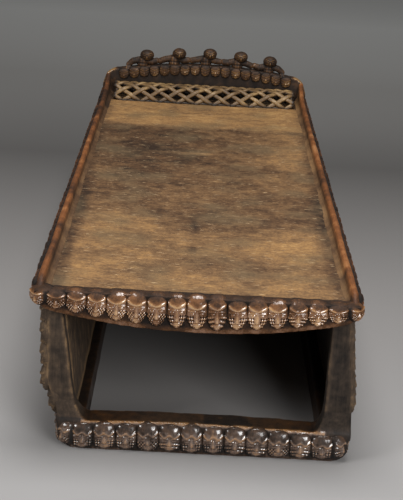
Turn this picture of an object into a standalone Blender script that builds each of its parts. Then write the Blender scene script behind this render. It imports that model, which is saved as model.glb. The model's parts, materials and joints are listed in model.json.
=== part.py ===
"""A ceremonial bed: a flat deck inside carved rims, on leaning walls and a base ring, with a headboard.

Metres, +Z up. The origin lies on the floor under the middle of the bed.
-Y is the foot end and +Y the head end. Members meet in tenons, tongues and pegs that are
part of one member and enter a mortise, groove or socket in the other.
"""

import math

import bmesh
import bpy
from mathutils import Matrix, Vector

# Overall size, measured over the carved heads
BED_LENGTH = 1.96
BED_WIDTH = 0.68

# Fits between members
FIT_GAP = 0.0003
EMBED = 0.004

# Deck
DECK_TOP = 0.344
DECK_EDGE = 0.036
DECK_BELLY = 0.030
DECK_TONGUE_DEPTH = 0.008
DECK_TONGUE_THICKNESS = 0.012
DECK_TONGUE_END = 0.030
BELLY_CLEARANCE = 0.010

# Side rims
RIM_WIDTH = 0.024
RIM_RISE = 0.024
RIM_COVE = 0.010
RIM_TOE = 0.004
RIM_TENON_LENGTH = 0.012
RIM_TENON_THICKNESS = 0.008
RIM_TENON_HEIGHT = 0.020

# Foot rim, which hangs lower in the middle
FOOT_RIM_WIDTH = 0.030
FOOT_RIM_RISE = 0.018
FOOT_RIM_ROUND = 0.007
APRON_LIFT = 0.008
APRON_DROP = 0.040
RIM_CORNER_ROUND = 0.014

# Headboard
HEADBOARD_THICKNESS = 0.036
CREST_RISE = 0.102
CREST_END_RISE = 0.078
CREST_INSET = 0.044
SHOULDER_RISE = 0.030

# Headrest, a half round of open lattice
HEADREST_RADIUS = 0.056
HEADREST_WALL = 0.011
HEADREST_GAP = 0.014
HEADREST_END_GAP = 0.012
HEADREST_END_ROUND = 0.012
HEADREST_CAP = 0.012
HEADREST_SEAT_DEPTH = 0.003
HEADREST_TENON_WIDTH = 0.040
HEADREST_TENON_DEPTH = 0.012
LATTICE_COLUMNS = 10
LATTICE_ROWS = 7
LATTICE_OPEN = 0.48

# Half figures on the crest
FIGURE_COUNT = 5
FIGURE_ROW_INSET = 0.024
FIGURE_HEAD_RADIUS = 0.0185
FIGURE_TORSO_HEIGHT = 0.025
FIGURE_TORSO_WIDTH = 0.028
FIGURE_TORSO_DEPTH = 0.024
FIGURE_SHOULDER_RISE = 0.0185
FIGURE_ELBOW_DROP = 0.003
FIGURE_ARM_RADIUS = 0.0065
FIGURE_PEG_SIDE = 0.012
FIGURE_PEG_LENGTH = 0.014
FIGURE_HAND_GAP = 0.002

# Corner posts and side posts
POST_WIDTH = 0.046
POST_DEPTH = 0.034
POST_SETBACK = 0.004
POST_TOP_INSET = 0.020
POST_TOP_SHIFT = 0.005
POST_FOOT_INSET = 0.002
SIDE_POSTS = 2
SIDE_POST_WIDTH = 0.060
SIDE_POST_THICKNESS = 0.040
POST_TENON_LENGTH = 0.018
POST_TENON_SIDE = 0.020
POST_TENON_INSET = 0.005

# Wall panels between the posts
PANEL_THICKNESS = 0.022
PANEL_INSET = 0.008
PANEL_TONGUE_HEIGHT = 0.008
PANEL_TONGUE_THICKNESS = 0.010

# Base ring, which stands a little to the right of the deck
BASE_INSET = 0.026
BASE_SHIFT = 0.026
BASE_RAIL_HEIGHT = 0.062
BASE_LEDGE = 0.022
SIDE_RAIL_WIDTH = 0.056
RAIL_TENON_LENGTH = 0.022
RAIL_TENON_THICKNESS = 0.020
RAIL_TENON_HEIGHT = 0.030
OPENING_CORNER_RADIUS = 0.036
BASE_CORNER_ROUND = 0.020

# Carved heads: pitch along the row, width, height and how far they stand out
RIM_HEAD_PITCH = 0.0425
RIM_HEAD_WIDTH = 0.038
RIM_HEAD_HEIGHT = 0.044
RIM_HEAD_RELIEF = 0.013
FOOT_HEAD_PITCH = 0.0405
FOOT_HEAD_WIDTH = 0.0370
FOOT_HEAD_MARGIN = 0.006
FOOT_HEAD_DROP = 0.004
BASE_HEAD_PITCH = 0.0445
BASE_HEAD_WIDTH = 0.041
BASE_HEAD_HEIGHT = 0.052
BASE_HEAD_RELIEF = 0.010
CREST_HEAD_PITCH = 0.0325
CREST_HEAD_WIDTH = 0.029
CREST_HEAD_HEIGHT = 0.034
CREST_HEAD_RELIEF = 0.010
CREST_HEAD_MARGIN = 0.003
POST_HEAD_PITCH = 0.046
POST_HEAD_WIDTH = 0.032
POST_HEAD_HEIGHT = 0.042
POST_HEAD_RELIEF = 0.0105
CORNER_HEAD_WIDTH = 0.028
CORNER_HEAD_ROOM = 0.020

# Proportions of one carved head, as shares of its width, height and relief
HEAD_SIDES = 8
JAW_TAPER = 0.32
CHEEK_DEPTH = 0.5
BROW_POINT = (0.90, 0.17)
NOSE_POINT = (1.00, -0.08)
CHIN_POINT = (0.78, -0.36)
CORNER_HEAD_ROOT = 0.5

ARC_STEPS = 8
ROUND_STEPS = 3
ARM_SIDES = 6
SHARP_ANGLE = math.radians(40)

# Faces and levels that several members share
SIDE_FACE = BED_WIDTH / 2 - RIM_HEAD_RELIEF
DECK_HALF = SIDE_FACE - RIM_WIDTH
FOOT_FACE = -BED_LENGTH / 2 + RIM_HEAD_RELIEF
DECK_FOOT = FOOT_FACE + FOOT_RIM_WIDTH
BACK_FACE = BED_LENGTH / 2 - RIM_HEAD_RELIEF
DECK_HEAD = BACK_FACE - HEADBOARD_THICKNESS
UNDERSIDE = DECK_TOP - DECK_EDGE
APRON_END = UNDERSIDE + APRON_LIFT
RIM_TOP = DECK_TOP + RIM_RISE
TOE_LEVEL = DECK_TOP - RIM_TOE
TOE_FACE = DECK_HALF - RIM_COVE
FOOT_RIM_TOP = DECK_TOP + FOOT_RIM_RISE
TONGUE_LEVEL = DECK_TOP - DECK_EDGE / 2
CREST_HALF = SIDE_FACE - CREST_INSET
POST_TOP_FACE = SIDE_FACE - POST_TOP_INSET
BASE_FACE = BED_WIDTH / 2 - BASE_INSET - BASE_HEAD_RELIEF
POST_FOOT_FACE = BASE_FACE - POST_FOOT_INSET
RISER_TOP = BASE_RAIL_HEIGHT + OPENING_CORNER_RADIUS
FOOT_POST = (DECK_FOOT + POST_SETBACK, DECK_FOOT + POST_SETBACK + POST_DEPTH)
HEAD_POST = (DECK_HEAD - POST_SETBACK - POST_DEPTH, DECK_HEAD - POST_SETBACK)
FOOT_RAIL = (FOOT_POST[0] - BASE_LEDGE, FOOT_POST[1])
HEAD_RAIL = (HEAD_POST[0], HEAD_POST[1] + BASE_LEDGE)
HEADREST_HALF = DECK_HALF - HEADREST_END_GAP
HEADREST_Y = DECK_HEAD - HEADREST_GAP - HEADREST_RADIUS
HEADREST_SEAT = DECK_TOP - HEADREST_SEAT_DEPTH
FIGURE_PITCH = 2 * (CREST_HALF - FIGURE_ROW_INSET) / FIGURE_COUNT
SIDES = {"left": -1, "right": 1}


def clear_scene():
    for obj in list(bpy.data.objects):
        bpy.data.objects.remove(obj)


def wood(name, colour, roughness):
    material = bpy.data.materials.new(name)
    material.use_nodes = True
    shader = material.node_tree.nodes["Principled BSDF"]
    shader.inputs["Base Color"].default_value = (*colour, 1.0)
    shader.inputs["Roughness"].default_value = roughness
    shader.inputs["Metallic"].default_value = 0.0
    return material


def finish_mesh(name, bm):
    bmesh.ops.recalc_face_normals(bm, faces=bm.faces)
    mesh = bpy.data.meshes.new(name)
    bm.to_mesh(mesh)
    bm.free()
    mesh.shade_smooth()
    mesh.set_sharp_from_angle(angle=SHARP_ANGLE)
    obj = bpy.data.objects.new(name, mesh)
    bpy.context.scene.collection.objects.link(obj)
    return obj


def member(name, bm, material):
    """A visible piece of the bed."""
    obj = finish_mesh(name, bm)
    obj.data.materials.append(material)
    obj.parent = bpy.data.objects["bed"]
    return obj


def helper(name, bm):
    """A shape that is only joined to a member or cut out of it."""
    obj = finish_mesh(name, bm)
    obj.hide_render = True
    obj.display_type = "WIRE"
    return obj


def combine(obj, other, operation):
    modifier = obj.modifiers.new(other.name, "BOOLEAN")
    modifier.operation = operation
    modifier.object = other


def add_box(bm, low, high):
    size = [b - a for a, b in zip(low, high)]
    middle = [(a + b) / 2 for a, b in zip(low, high)]
    matrix = Matrix.Translation(middle) @ Matrix.Diagonal((*size, 1.0))
    bmesh.ops.create_cube(bm, size=1.0, matrix=matrix)


def boxes(name, limits):
    bm = bmesh.new()
    for low, high in limits:
        add_box(bm, low, high)
    return helper(name, bm)


def grown(limits):
    """The mortise for each box: the box with a clearance all round."""
    return [([a - FIT_GAP for a in low], [b + FIT_GAP for b in high]) for low, high in limits]


def add_walls(bm, first, second):
    """Side faces between two closed rings of the same count."""
    for i, vert in enumerate(first):
        j = (i + 1) % len(first)
        bm.faces.new((vert, first[j], second[j], second[i]))


def add_prism(bm, outline, start, end):
    """An XZ outline carried along Y from start to end."""
    near = [bm.verts.new((x, start, z)) for x, z in outline]
    far = [bm.verts.new((x, end, z)) for x, z in outline]
    bm.faces.new(near)
    bm.faces.new(far)
    add_walls(bm, near, far)


def add_leaning_block(bm, low, low_z, high, high_z):
    """A block between two level rectangles, each given as X limits and Y limits."""
    rings = []
    for ((x0, x1), (y0, y1)), z in ((low, low_z), (high, high_z)):
        corners = ((x0, y0), (x1, y0), (x1, y1), (x0, y1))
        rings.append([bm.verts.new((x, y, z)) for x, y in corners])
    for ring in rings:
        bm.faces.new(ring)
    add_walls(bm, *rings)


def add_tube(bm, points, radius):
    """A limb of ARM_SIDES sides through the points, in the plane of the crest, with flat ends."""
    rings = []
    for i, point in enumerate(points):
        along = (points[min(i + 1, len(points) - 1)] - points[max(i - 1, 0)]).normalized()
        across = Vector((0, 1, 0))
        up = along.cross(across)
        angles = [2 * math.pi * k / ARM_SIDES for k in range(ARM_SIDES)]
        spokes = [across * math.cos(a) + up * math.sin(a) for a in angles]
        rings.append([bm.verts.new(point + radius * spoke) for spoke in spokes])
    for near, far in zip(rings, rings[1:]):
        add_walls(bm, near, far)
    bm.faces.new(rings[0])
    bm.faces.new(rings[-1])


def round_edges(bm, wanted, radius):
    """Rounds each edge whose two ends both satisfy wanted."""
    edges = [edge for edge in bm.edges if all(wanted(vert.co) for vert in edge.verts)]
    bmesh.ops.bevel(bm, geom=edges, offset=radius, segments=ROUND_STEPS, affect="EDGES", profile=0.5)


def same(a, b):
    return abs(a - b) < FIT_GAP / 10


def sag_radius(half, drop):
    return (half * half + drop * drop) / (2 * drop)


def sag_at(x, half, drop):
    """How far a circle that hangs by drop between -half and +half lies from its ends' level at x."""
    radius = sag_radius(half, drop)
    return math.sqrt(radius * radius - x * x) - (radius - drop)


def hanging_arc(half, level, drop):
    """Points from +half to -half on a circle that hangs by drop below level in the middle."""
    xs = [half * (1 - 2 * i / ARC_STEPS) for i in range(ARC_STEPS + 1)]
    return [(x, level - sag_at(x, half, drop)) for x in xs]


def spread(start, end, pitch):
    """Centres of equal cells of about this pitch between start and end."""
    count = max(1, int((end - start) / pitch))
    cell = (end - start) / count
    return [start + cell * (i + 0.5) for i in range(count)]


def facing(x, y, z, turn, lean=0.0):
    """The place of a carved head. Turn 0 looks to the foot and 90 to +X; lean tips its top outwards."""
    place = Matrix.Translation((x, y, z)) @ Matrix.Rotation(math.radians(turn), 4, "Z")
    return place @ Matrix.Rotation(lean, 4, "X")


def add_head(bm, place, width, height, relief, root=EMBED):
    """One carved head with brow, nose and chin on a ridge. Its own -Y looks outwards."""

    def vert(x, y, z):
        return bm.verts.new(place @ Vector((x, y, z)))

    rings = []
    for depth in (root, -relief * CHEEK_DEPTH):
        ring = []
        for i in range(HEAD_SIDES):
            angle = 2 * math.pi * i / HEAD_SIDES
            jaw = 1 - JAW_TAPER * max(0.0, -math.sin(angle))
            ring.append(vert(width / 2 * math.cos(angle) * jaw, depth, height / 2 * math.sin(angle)))
        rings.append(ring)
    bm.faces.new(rings[0])
    add_walls(bm, *rings)
    ridge = (BROW_POINT, NOSE_POINT, CHIN_POINT)
    brow, nose, chin = (vert(0, -relief * out, height * up) for out, up in ridge)
    right, upper_right, top, upper_left, left, lower_left, bottom, lower_right = rings[1]
    for corners in (
        (right, upper_right, brow),
        (upper_right, top, brow),
        (top, upper_left, brow),
        (upper_left, left, brow),
        (left, nose, brow),
        (right, brow, nose),
        (left, lower_left, nose),
        (lower_right, right, nose),
        (lower_left, chin, nose),
        (lower_right, nose, chin),
        (lower_left, bottom, chin),
        (bottom, lower_right, chin),
    ):
        bm.faces.new(corners)


def carve_heads(obj, row, label="heads"):
    """Joins carved heads to a member, each given as the values that add_head takes."""
    bm = bmesh.new()
    for values in row:
        add_head(bm, *values)
    combine(obj, helper(f"{obj.name}_{label}", bm), "UNION")


def corner_heads(half, y, rounding, level, height, relief, end, shift=0.0):
    """A head on each rounded outer corner of an end member; end is -1 at the foot and 1 at the head."""
    back = rounding * (1 - math.sqrt(0.5))
    for side in SIDES.values():
        turn = side * 45 if end < 0 else side * 135
        place = facing(side * (half - back) + shift, y - end * back, level, turn)
        yield place, CORNER_HEAD_WIDTH, height, relief, CORNER_HEAD_WIDTH * CORNER_HEAD_ROOT


def wall_x(side, z):
    """Outer face of a post at height z: it leans from the shifted base ring out to the deck."""
    low = side * POST_FOOT_FACE + BASE_SHIFT
    high = side * POST_TOP_FACE + POST_TOP_SHIFT
    return low + (high - low) * (z - RISER_TOP) / (UNDERSIDE - RISER_TOP)


def wall_lean(side):
    """Angle by which a post's outer face tips outwards."""
    run = side * (wall_x(side, UNDERSIDE) - wall_x(side, RISER_TOP))
    return math.atan2(run, UNDERSIDE - RISER_TOP)


def wall_limits(side, z, inset, thickness):
    """X limits of a wall of this thickness, set in from the posts' outer face."""
    outer = wall_x(side, z) - side * inset
    return sorted((outer, outer - side * thickness))


def stub(face, reach):
    """Limits of a tenon that leaves a face by reach, rooted in its own member."""
    return sorted((face - math.copysign(EMBED, reach), face + reach))


def post_places():
    """Every post as name, side, thickness, Y limits and the height of its foot."""
    for side_name, side in SIDES.items():
        yield f"foot_{side_name}_post", side, POST_WIDTH, FOOT_POST, RISER_TOP
        yield f"head_{side_name}_post", side, POST_WIDTH, HEAD_POST, RISER_TOP
        for i, y_limits in enumerate(side_post_limits()):
            yield f"{side_name}_side_post_{i + 1}", side, SIDE_POST_THICKNESS, y_limits, BASE_RAIL_HEIGHT


def side_post_limits():
    """Y limits of the posts that divide a side wall into equal bays."""
    bay = (HEAD_POST[0] - FOOT_POST[1]) / (SIDE_POSTS + 1)
    for i in range(SIDE_POSTS):
        y = FOOT_POST[1] + bay * (i + 1)
        yield y - SIDE_POST_WIDTH / 2, y + SIDE_POST_WIDTH / 2


def panel_places():
    """Every wall panel as name, side and Y limits, from one post to the next."""
    edges = [FOOT_POST, *side_post_limits(), HEAD_POST]
    for side_name, side in SIDES.items():
        for i, (before, after) in enumerate(zip(edges, edges[1:])):
            yield f"{side_name}_panel_{i + 1}", side, (before[1] + FIT_GAP, after[0] - FIT_GAP)


def post_tenon(side, thickness, y_limits, z, reach):
    half = POST_TENON_SIDE / 2
    x = wall_x(side, z) - side * (thickness - POST_TENON_INSET - half)
    y = sum(y_limits) / 2
    low, high = stub(z, reach)
    return (x - half, y - half, low), (x + half, y + half, high)


def panel_tongue(side, y_limits, z, reach):
    x = sum(wall_limits(side, z, PANEL_INSET, PANEL_THICKNESS)) / 2
    half = PANEL_TONGUE_THICKNESS / 2
    low, high = stub(z, reach)
    return (x - half, y_limits[0], low), (x + half, y_limits[1], high)


def end_tenons(x, z, thickness, height, faces):
    """A tenon at each end of a side member; faces are (Y of the end, reach)."""
    limits = []
    for face, reach in faces:
        low, high = stub(face, reach)
        limits.append(((x - thickness / 2, low, z - height / 2), (x + thickness / 2, high, z + height / 2)))
    return limits


def rail_tenons(side):
    """The tenons that join one side rail to the foot and head rails."""
    x = side * (BASE_FACE - SIDE_RAIL_WIDTH / 2) + BASE_SHIFT
    faces = ((FOOT_RAIL[1], -RAIL_TENON_LENGTH), (HEAD_RAIL[0], RAIL_TENON_LENGTH))
    return end_tenons(x, BASE_RAIL_HEIGHT / 2, RAIL_TENON_THICKNESS, RAIL_TENON_HEIGHT, faces)


def rim_tenons(side):
    """The tenons that join one side rim to the foot rim and the headboard."""
    x = side * (SIDE_FACE - (RIM_WIDTH - DECK_TONGUE_DEPTH) / 2)
    faces = ((DECK_FOOT, -RIM_TENON_LENGTH), (DECK_HEAD, RIM_TENON_LENGTH))
    return end_tenons(x, (UNDERSIDE + DECK_TOP) / 2, RIM_TENON_THICKNESS, RIM_TENON_HEIGHT, faces)


def deck_end_tongues():
    """The deck's tongues into the foot rim and the headboard."""
    width = 2 * (DECK_HALF - DECK_TONGUE_END)
    faces = ((DECK_FOOT, -DECK_TONGUE_DEPTH), (DECK_HEAD, DECK_TONGUE_DEPTH))
    return end_tenons(0, TONGUE_LEVEL, width, DECK_TONGUE_THICKNESS, faces)


def headrest_tenons():
    half = HEADREST_TENON_WIDTH / 2
    low, high = stub(HEADREST_SEAT, -HEADREST_TENON_DEPTH)
    limits = []
    for side in SIDES.values():
        x0, x1 = sorted(side * (HEADREST_HALF - HEADREST_CAP * share) for share in (0.25, 0.75))
        limits.append(((x0, HEADREST_Y - half, low), (x1, HEADREST_Y + half, high)))
    return limits


def crest_level(x):
    """Height of the arched crest at x."""
    return DECK_TOP + CREST_END_RISE + sag_at(x, CREST_HALF, CREST_RISE - CREST_END_RISE)


def figure_places():
    """X of each figure's middle and the level of its seat, the lower end of its flat on the crest."""
    for i in range(FIGURE_COUNT):
        x = (i - (FIGURE_COUNT - 1) / 2) * FIGURE_PITCH
        yield x, crest_level(abs(x) + FIGURE_TORSO_WIDTH / 2)


def figure_peg(x, seat):
    y = (DECK_HEAD + BACK_FACE) / 2
    half = FIGURE_PEG_SIDE / 2
    low, high = stub(seat, -FIGURE_PEG_LENGTH)
    return (x - half, y - half, low), (x + half, y + half, high)


def build_deck(material):
    """A slab with a round belly, rebated at its sides for the rims and at its end for the headrest."""
    half = DECK_HALF - FIT_GAP
    tip = DECK_HALF + DECK_TONGUE_DEPTH
    thick = DECK_TONGUE_THICKNESS / 2
    belly = POST_TOP_FACE - POST_TOP_SHIFT - POST_WIDTH - BELLY_CLEARANCE
    right_edge = [
        (TOE_FACE - FIT_GAP, DECK_TOP),
        (TOE_FACE - FIT_GAP, TOE_LEVEL),
        (half, TOE_LEVEL),
        (half, TONGUE_LEVEL + thick),
        (tip, TONGUE_LEVEL + thick),
        (tip, TONGUE_LEVEL - thick),
        (half, TONGUE_LEVEL - thick),
        (half, UNDERSIDE),
    ]
    left_edge = [(-x, z) for x, z in reversed(right_edge)]
    bm = bmesh.new()
    outline = right_edge + hanging_arc(belly, UNDERSIDE, DECK_BELLY) + left_edge
    add_prism(bm, outline, DECK_FOOT + FIT_GAP, DECK_HEAD - FIT_GAP)
    deck = member("deck_slab", bm, material)
    combine(deck, boxes("deck_end_tongues", deck_end_tongues()), "UNION")
    mortises = [
        post_tenon(side, thickness, y_limits, UNDERSIDE, POST_TENON_LENGTH)
        for _, side, thickness, y_limits, _ in post_places()
    ]
    mortises += [
        panel_tongue(side, y_limits, UNDERSIDE, PANEL_TONGUE_HEIGHT) for _, side, y_limits in panel_places()
    ]
    combine(deck, boxes("deck_mortises", grown(mortises)), "DIFFERENCE")
    seat = (
        (-DECK_HALF, HEADREST_Y - HEADREST_RADIUS - FIT_GAP, HEADREST_SEAT),
        (DECK_HALF, DECK_HEAD + EMBED, DECK_TOP + EMBED),
    )
    combine(deck, boxes("headrest_seat", [seat]), "DIFFERENCE")
    combine(deck, boxes("headrest_mortises", grown(headrest_tenons())), "DIFFERENCE")


def build_side_rim(side_name, side, material):
    """A side rim: upright outside, round on top, and coved inside down to a toe in the deck's rebate."""
    crown = RIM_WIDTH / 2
    angles = [math.pi * i / ARC_STEPS for i in range(ARC_STEPS + 1)]
    top = [(SIDE_FACE - crown + crown * math.cos(a), RIM_TOP - crown + crown * math.sin(a)) for a in angles]
    cove_rise = RIM_TOP - crown - DECK_TOP
    cove = [
        (DECK_HALF - RIM_COVE * (1 - math.cos(a)), DECK_TOP + cove_rise * (1 - math.sin(a)))
        for a in (math.pi / 6, math.pi / 3, math.pi / 2)
    ]
    sole = TOE_LEVEL + FIT_GAP
    toe = [(TOE_FACE, sole), (DECK_HALF, sole)]
    outline = [(SIDE_FACE, UNDERSIDE), *top, *cove, *toe, (DECK_HALF, UNDERSIDE)]
    bm = bmesh.new()
    add_prism(bm, [(side * x, z) for x, z in outline], DECK_FOOT + FIT_GAP, DECK_HEAD - FIT_GAP)
    rim = member(f"{side_name}_rim", bm, material)
    groove = sorted((side * (DECK_HALF - EMBED), side * (DECK_HALF + DECK_TONGUE_DEPTH + FIT_GAP)))
    thick = DECK_TONGUE_THICKNESS / 2 + FIT_GAP
    limits = (
        (groove[0], DECK_FOOT - EMBED, TONGUE_LEVEL - thick),
        (groove[1], DECK_HEAD + EMBED, TONGUE_LEVEL + thick),
    )
    combine(rim, boxes(f"{side_name}_rim_groove", [limits]), "DIFFERENCE")
    combine(rim, boxes(f"{side_name}_rim_tenons", rim_tenons(side)), "UNION")
    level = (UNDERSIDE + RIM_TOP - crown) / 2
    carve_heads(rim, [
        (facing(side * SIDE_FACE, y, level, side * 90), RIM_HEAD_WIDTH, RIM_HEAD_HEIGHT, RIM_HEAD_RELIEF)
        for y in spread(DECK_FOOT, DECK_HEAD, RIM_HEAD_PITCH)
    ])


def end_mortises():
    """The grooves and mortises that the foot rim and the headboard share."""
    return grown([*deck_end_tongues(), *rim_tenons(-1), *rim_tenons(1)])


def build_foot_rim(material):
    outline = [(-SIDE_FACE, FOOT_RIM_TOP), (SIDE_FACE, FOOT_RIM_TOP)]
    outline += hanging_arc(SIDE_FACE, APRON_END, APRON_DROP)
    bm = bmesh.new()
    add_prism(bm, outline, FOOT_FACE, DECK_FOOT)
    round_edges(bm, lambda co: same(abs(co.x), SIDE_FACE) and same(co.y, FOOT_FACE), RIM_CORNER_ROUND)
    round_edges(bm, lambda co: same(co.z, FOOT_RIM_TOP), FOOT_RIM_ROUND)
    rim = member("foot_rim", bm, material)
    row = []
    for x in spread(CORNER_HEAD_ROOM - SIDE_FACE, SIDE_FACE - CORNER_HEAD_ROOM, FOOT_HEAD_PITCH):
        low = APRON_END - sag_at(x, SIDE_FACE, APRON_DROP) + FOOT_HEAD_MARGIN
        high = FOOT_RIM_TOP - FOOT_HEAD_DROP
        row.append((facing(x, FOOT_FACE, (low + high) / 2, 0), FOOT_HEAD_WIDTH, high - low, RIM_HEAD_RELIEF))
    height = FOOT_RIM_TOP - FOOT_HEAD_DROP - APRON_END - FOOT_HEAD_MARGIN
    level = APRON_END + FOOT_HEAD_MARGIN + height / 2
    corners = corner_heads(SIDE_FACE, FOOT_FACE, RIM_CORNER_ROUND, level, height, RIM_HEAD_RELIEF, -1)
    carve_heads(rim, row)
    carve_heads(rim, corners, "corner_heads")
    combine(rim, boxes("foot_rim_mortises", end_mortises()), "DIFFERENCE")


def build_headboard(material):
    """An arched board with a flat under each figure and round shoulders down to the side rims."""
    shoulder = DECK_TOP + SHOULDER_RISE
    drop = DECK_TOP + CREST_END_RISE - shoulder
    angles = [math.pi / 2 * i / ARC_STEPS for i in range(ARC_STEPS + 1)]
    right = [(CREST_HALF + CREST_INSET * math.cos(a), shoulder + drop * math.sin(a)) for a in angles]
    crest = []
    for x, seat in reversed(list(figure_places())):
        crest += [(x + FIGURE_TORSO_WIDTH / 2, seat), (x - FIGURE_TORSO_WIDTH / 2, seat)]
    left = [(-x, z) for x, z in reversed(right)]
    outline = right + crest + left + list(reversed(hanging_arc(SIDE_FACE, APRON_END, APRON_DROP)))
    bm = bmesh.new()
    add_prism(bm, outline, DECK_HEAD, BACK_FACE)
    round_edges(bm, lambda co: same(abs(co.x), SIDE_FACE) and same(co.y, BACK_FACE), RIM_CORNER_ROUND)
    board = member("headboard", bm, material)
    row = []
    for x in spread(-CREST_HALF, CREST_HALF, CREST_HEAD_PITCH):
        lowest_crest = crest_level(min(abs(x) + FIGURE_TORSO_WIDTH, CREST_HALF))
        level = lowest_crest - CREST_HEAD_MARGIN - CREST_HEAD_HEIGHT / 2
        row.append((facing(x, DECK_HEAD, level, 0), CREST_HEAD_WIDTH, CREST_HEAD_HEIGHT, CREST_HEAD_RELIEF))
    level = (UNDERSIDE + DECK_TOP) / 2
    for x in spread(CORNER_HEAD_ROOM - SIDE_FACE, SIDE_FACE - CORNER_HEAD_ROOM, RIM_HEAD_PITCH):
        row.append((facing(x, BACK_FACE, level, 180), RIM_HEAD_WIDTH, RIM_HEAD_HEIGHT, RIM_HEAD_RELIEF))
    corners = corner_heads(SIDE_FACE, BACK_FACE, RIM_CORNER_ROUND, level, RIM_HEAD_HEIGHT, RIM_HEAD_RELIEF, 1)
    carve_heads(board, row)
    carve_heads(board, corners, "corner_heads")
    pegs = [figure_peg(x, seat) for x, seat in figure_places()]
    combine(board, boxes("headboard_mortises", end_mortises()), "DIFFERENCE")
    combine(board, boxes("headboard_peg_holes", grown(pegs)), "DIFFERENCE")


def add_lattice(bm):
    """A half-round shell of crossing bands with diamond holes, closed at both ends and open below.

    Band crossings lie where column and row add up to an odd number, and holes where they add up to an
    even one. Rows run round the shell from the foot side to the head side, and columns along it.
    """
    columns, rows = 2 * LATTICE_COLUMNS, LATTICE_ROWS + 1
    shells = {}

    def point(column, row, inside):
        at_end = column in (0, columns)
        radius = HEADREST_RADIUS - (HEADREST_END_ROUND if at_end else 0) - (HEADREST_WALL if inside else 0)
        half = HEADREST_HALF - (HEADREST_CAP if inside else 0)
        angle = math.pi * row / rows
        x = half * (2 * column / columns - 1)
        z = HEADREST_SEAT + FIT_GAP + radius * math.sin(angle)
        return Vector((x, HEADREST_Y - radius * math.cos(angle), z))

    def vert(column, row, inside):
        key = (column, row, inside)
        if key not in shells:
            shells[key] = bm.verts.new(point(column, row, inside))
        return shells[key]

    def around(column, row):
        near = ((column - 1, row), (column, row - 1), (column + 1, row), (column, row + 1))
        return [(c, r) for c, r in near if 0 <= c <= columns and 0 <= r <= rows]

    for column in range(columns + 1):
        for row in range(rows + 1):
            if (column + row) % 2:
                continue
            corners = around(column, row)
            if len(corners) < 4:
                if len(corners) == 2:
                    corners.append((column, row))
                for inside in (False, True):
                    bm.faces.new([vert(*corner, inside) for corner in corners])
                continue
            holes = []
            for inside in (False, True):
                outer = [vert(*corner, inside) for corner in corners]
                middle = point(column, row, inside)
                hole = [bm.verts.new(middle.lerp(corner.co, LATTICE_OPEN)) for corner in outer]
                add_walls(bm, outer, hole)
                holes.append(hole)
            add_walls(bm, *holes)
    rim_columns = [0, *range(1, columns, 2), columns]
    for row in (0, rows):
        for a, b in zip(rim_columns, rim_columns[1:]):
            bm.faces.new((vert(a, row, False), vert(b, row, False), vert(b, row, True), vert(a, row, True)))
    for column in (0, columns):
        for inside in (False, True):
            bm.faces.new([vert(column, row, inside) for row in (0, *range(1, rows, 2), rows)])
        bm.faces.new([vert(column, row, inside) for row, inside in ((0, 0), (rows, 0), (rows, 1), (0, 1))])


def build_headrest(material):
    bm = bmesh.new()
    add_lattice(bm)
    headrest = member("headrest", bm, material)
    combine(headrest, boxes("headrest_tenons", headrest_tenons()), "UNION")


def build_figure(index, x, seat, neighbours, material):
    """A half figure with a round head and bent arms, whose hands meet the neighbours' hands."""
    y = (DECK_HEAD + BACK_FACE) / 2
    base = seat + FIT_GAP
    bm = bmesh.new()
    half_width, half_depth = FIGURE_TORSO_WIDTH / 2, FIGURE_TORSO_DEPTH / 2
    foot = ((x - half_width, x + half_width), (y - half_depth, y + half_depth))
    neck = FIGURE_HEAD_RADIUS / 2
    top = ((x - neck, x + neck), (y - neck, y + neck))
    add_leaning_block(bm, foot, base, top, base + FIGURE_TORSO_HEIGHT)
    figure = member(f"headboard_figure_{index + 1}", bm, material)
    bm = bmesh.new()
    chin_sink = FIGURE_HEAD_RADIUS * (1 - math.sqrt(0.5))
    centre = Matrix.Translation((x, y, base + FIGURE_TORSO_HEIGHT + FIGURE_HEAD_RADIUS - chin_sink))
    bmesh.ops.create_icosphere(bm, subdivisions=2, radius=FIGURE_HEAD_RADIUS, matrix=centre)
    combine(figure, helper(f"{figure.name}_head", bm), "UNION")
    combine(figure, boxes(f"{figure.name}_peg", [figure_peg(x, seat)]), "UNION")
    shoulder = base + FIGURE_SHOULDER_RISE
    bm = bmesh.new()
    for side, neighbour in zip((-1, 1), neighbours):
        reach = x + side * (FIGURE_PITCH - FIGURE_HAND_GAP) / 2
        elbow = x + side * FIGURE_PITCH / 3
        root = x + side * (neck - EMBED)
        arm = [Vector((root, y, shoulder)), Vector((elbow, y, shoulder - FIGURE_ELBOW_DROP))]
        if neighbour is None:
            hand = crest_level(abs(reach) + FIGURE_ARM_RADIUS) + FIGURE_HAND_GAP
            arm += [Vector((reach, y, (shoulder + hand) / 2)), Vector((reach, y, hand))]
        else:
            arm.append(Vector((reach, y, (seat + neighbour) / 2 + FIGURE_SHOULDER_RISE)))
        add_tube(bm, arm, FIGURE_ARM_RADIUS)
    combine(figure, helper(f"{figure.name}_arms", bm), "UNION")


def build_figures(material):
    places = list(figure_places())
    seats = [None, *(seat for _, seat in places), None]
    for i, (x, seat) in enumerate(places):
        build_figure(i, x, seat, (seats[i], seats[i + 2]), material)


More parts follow.
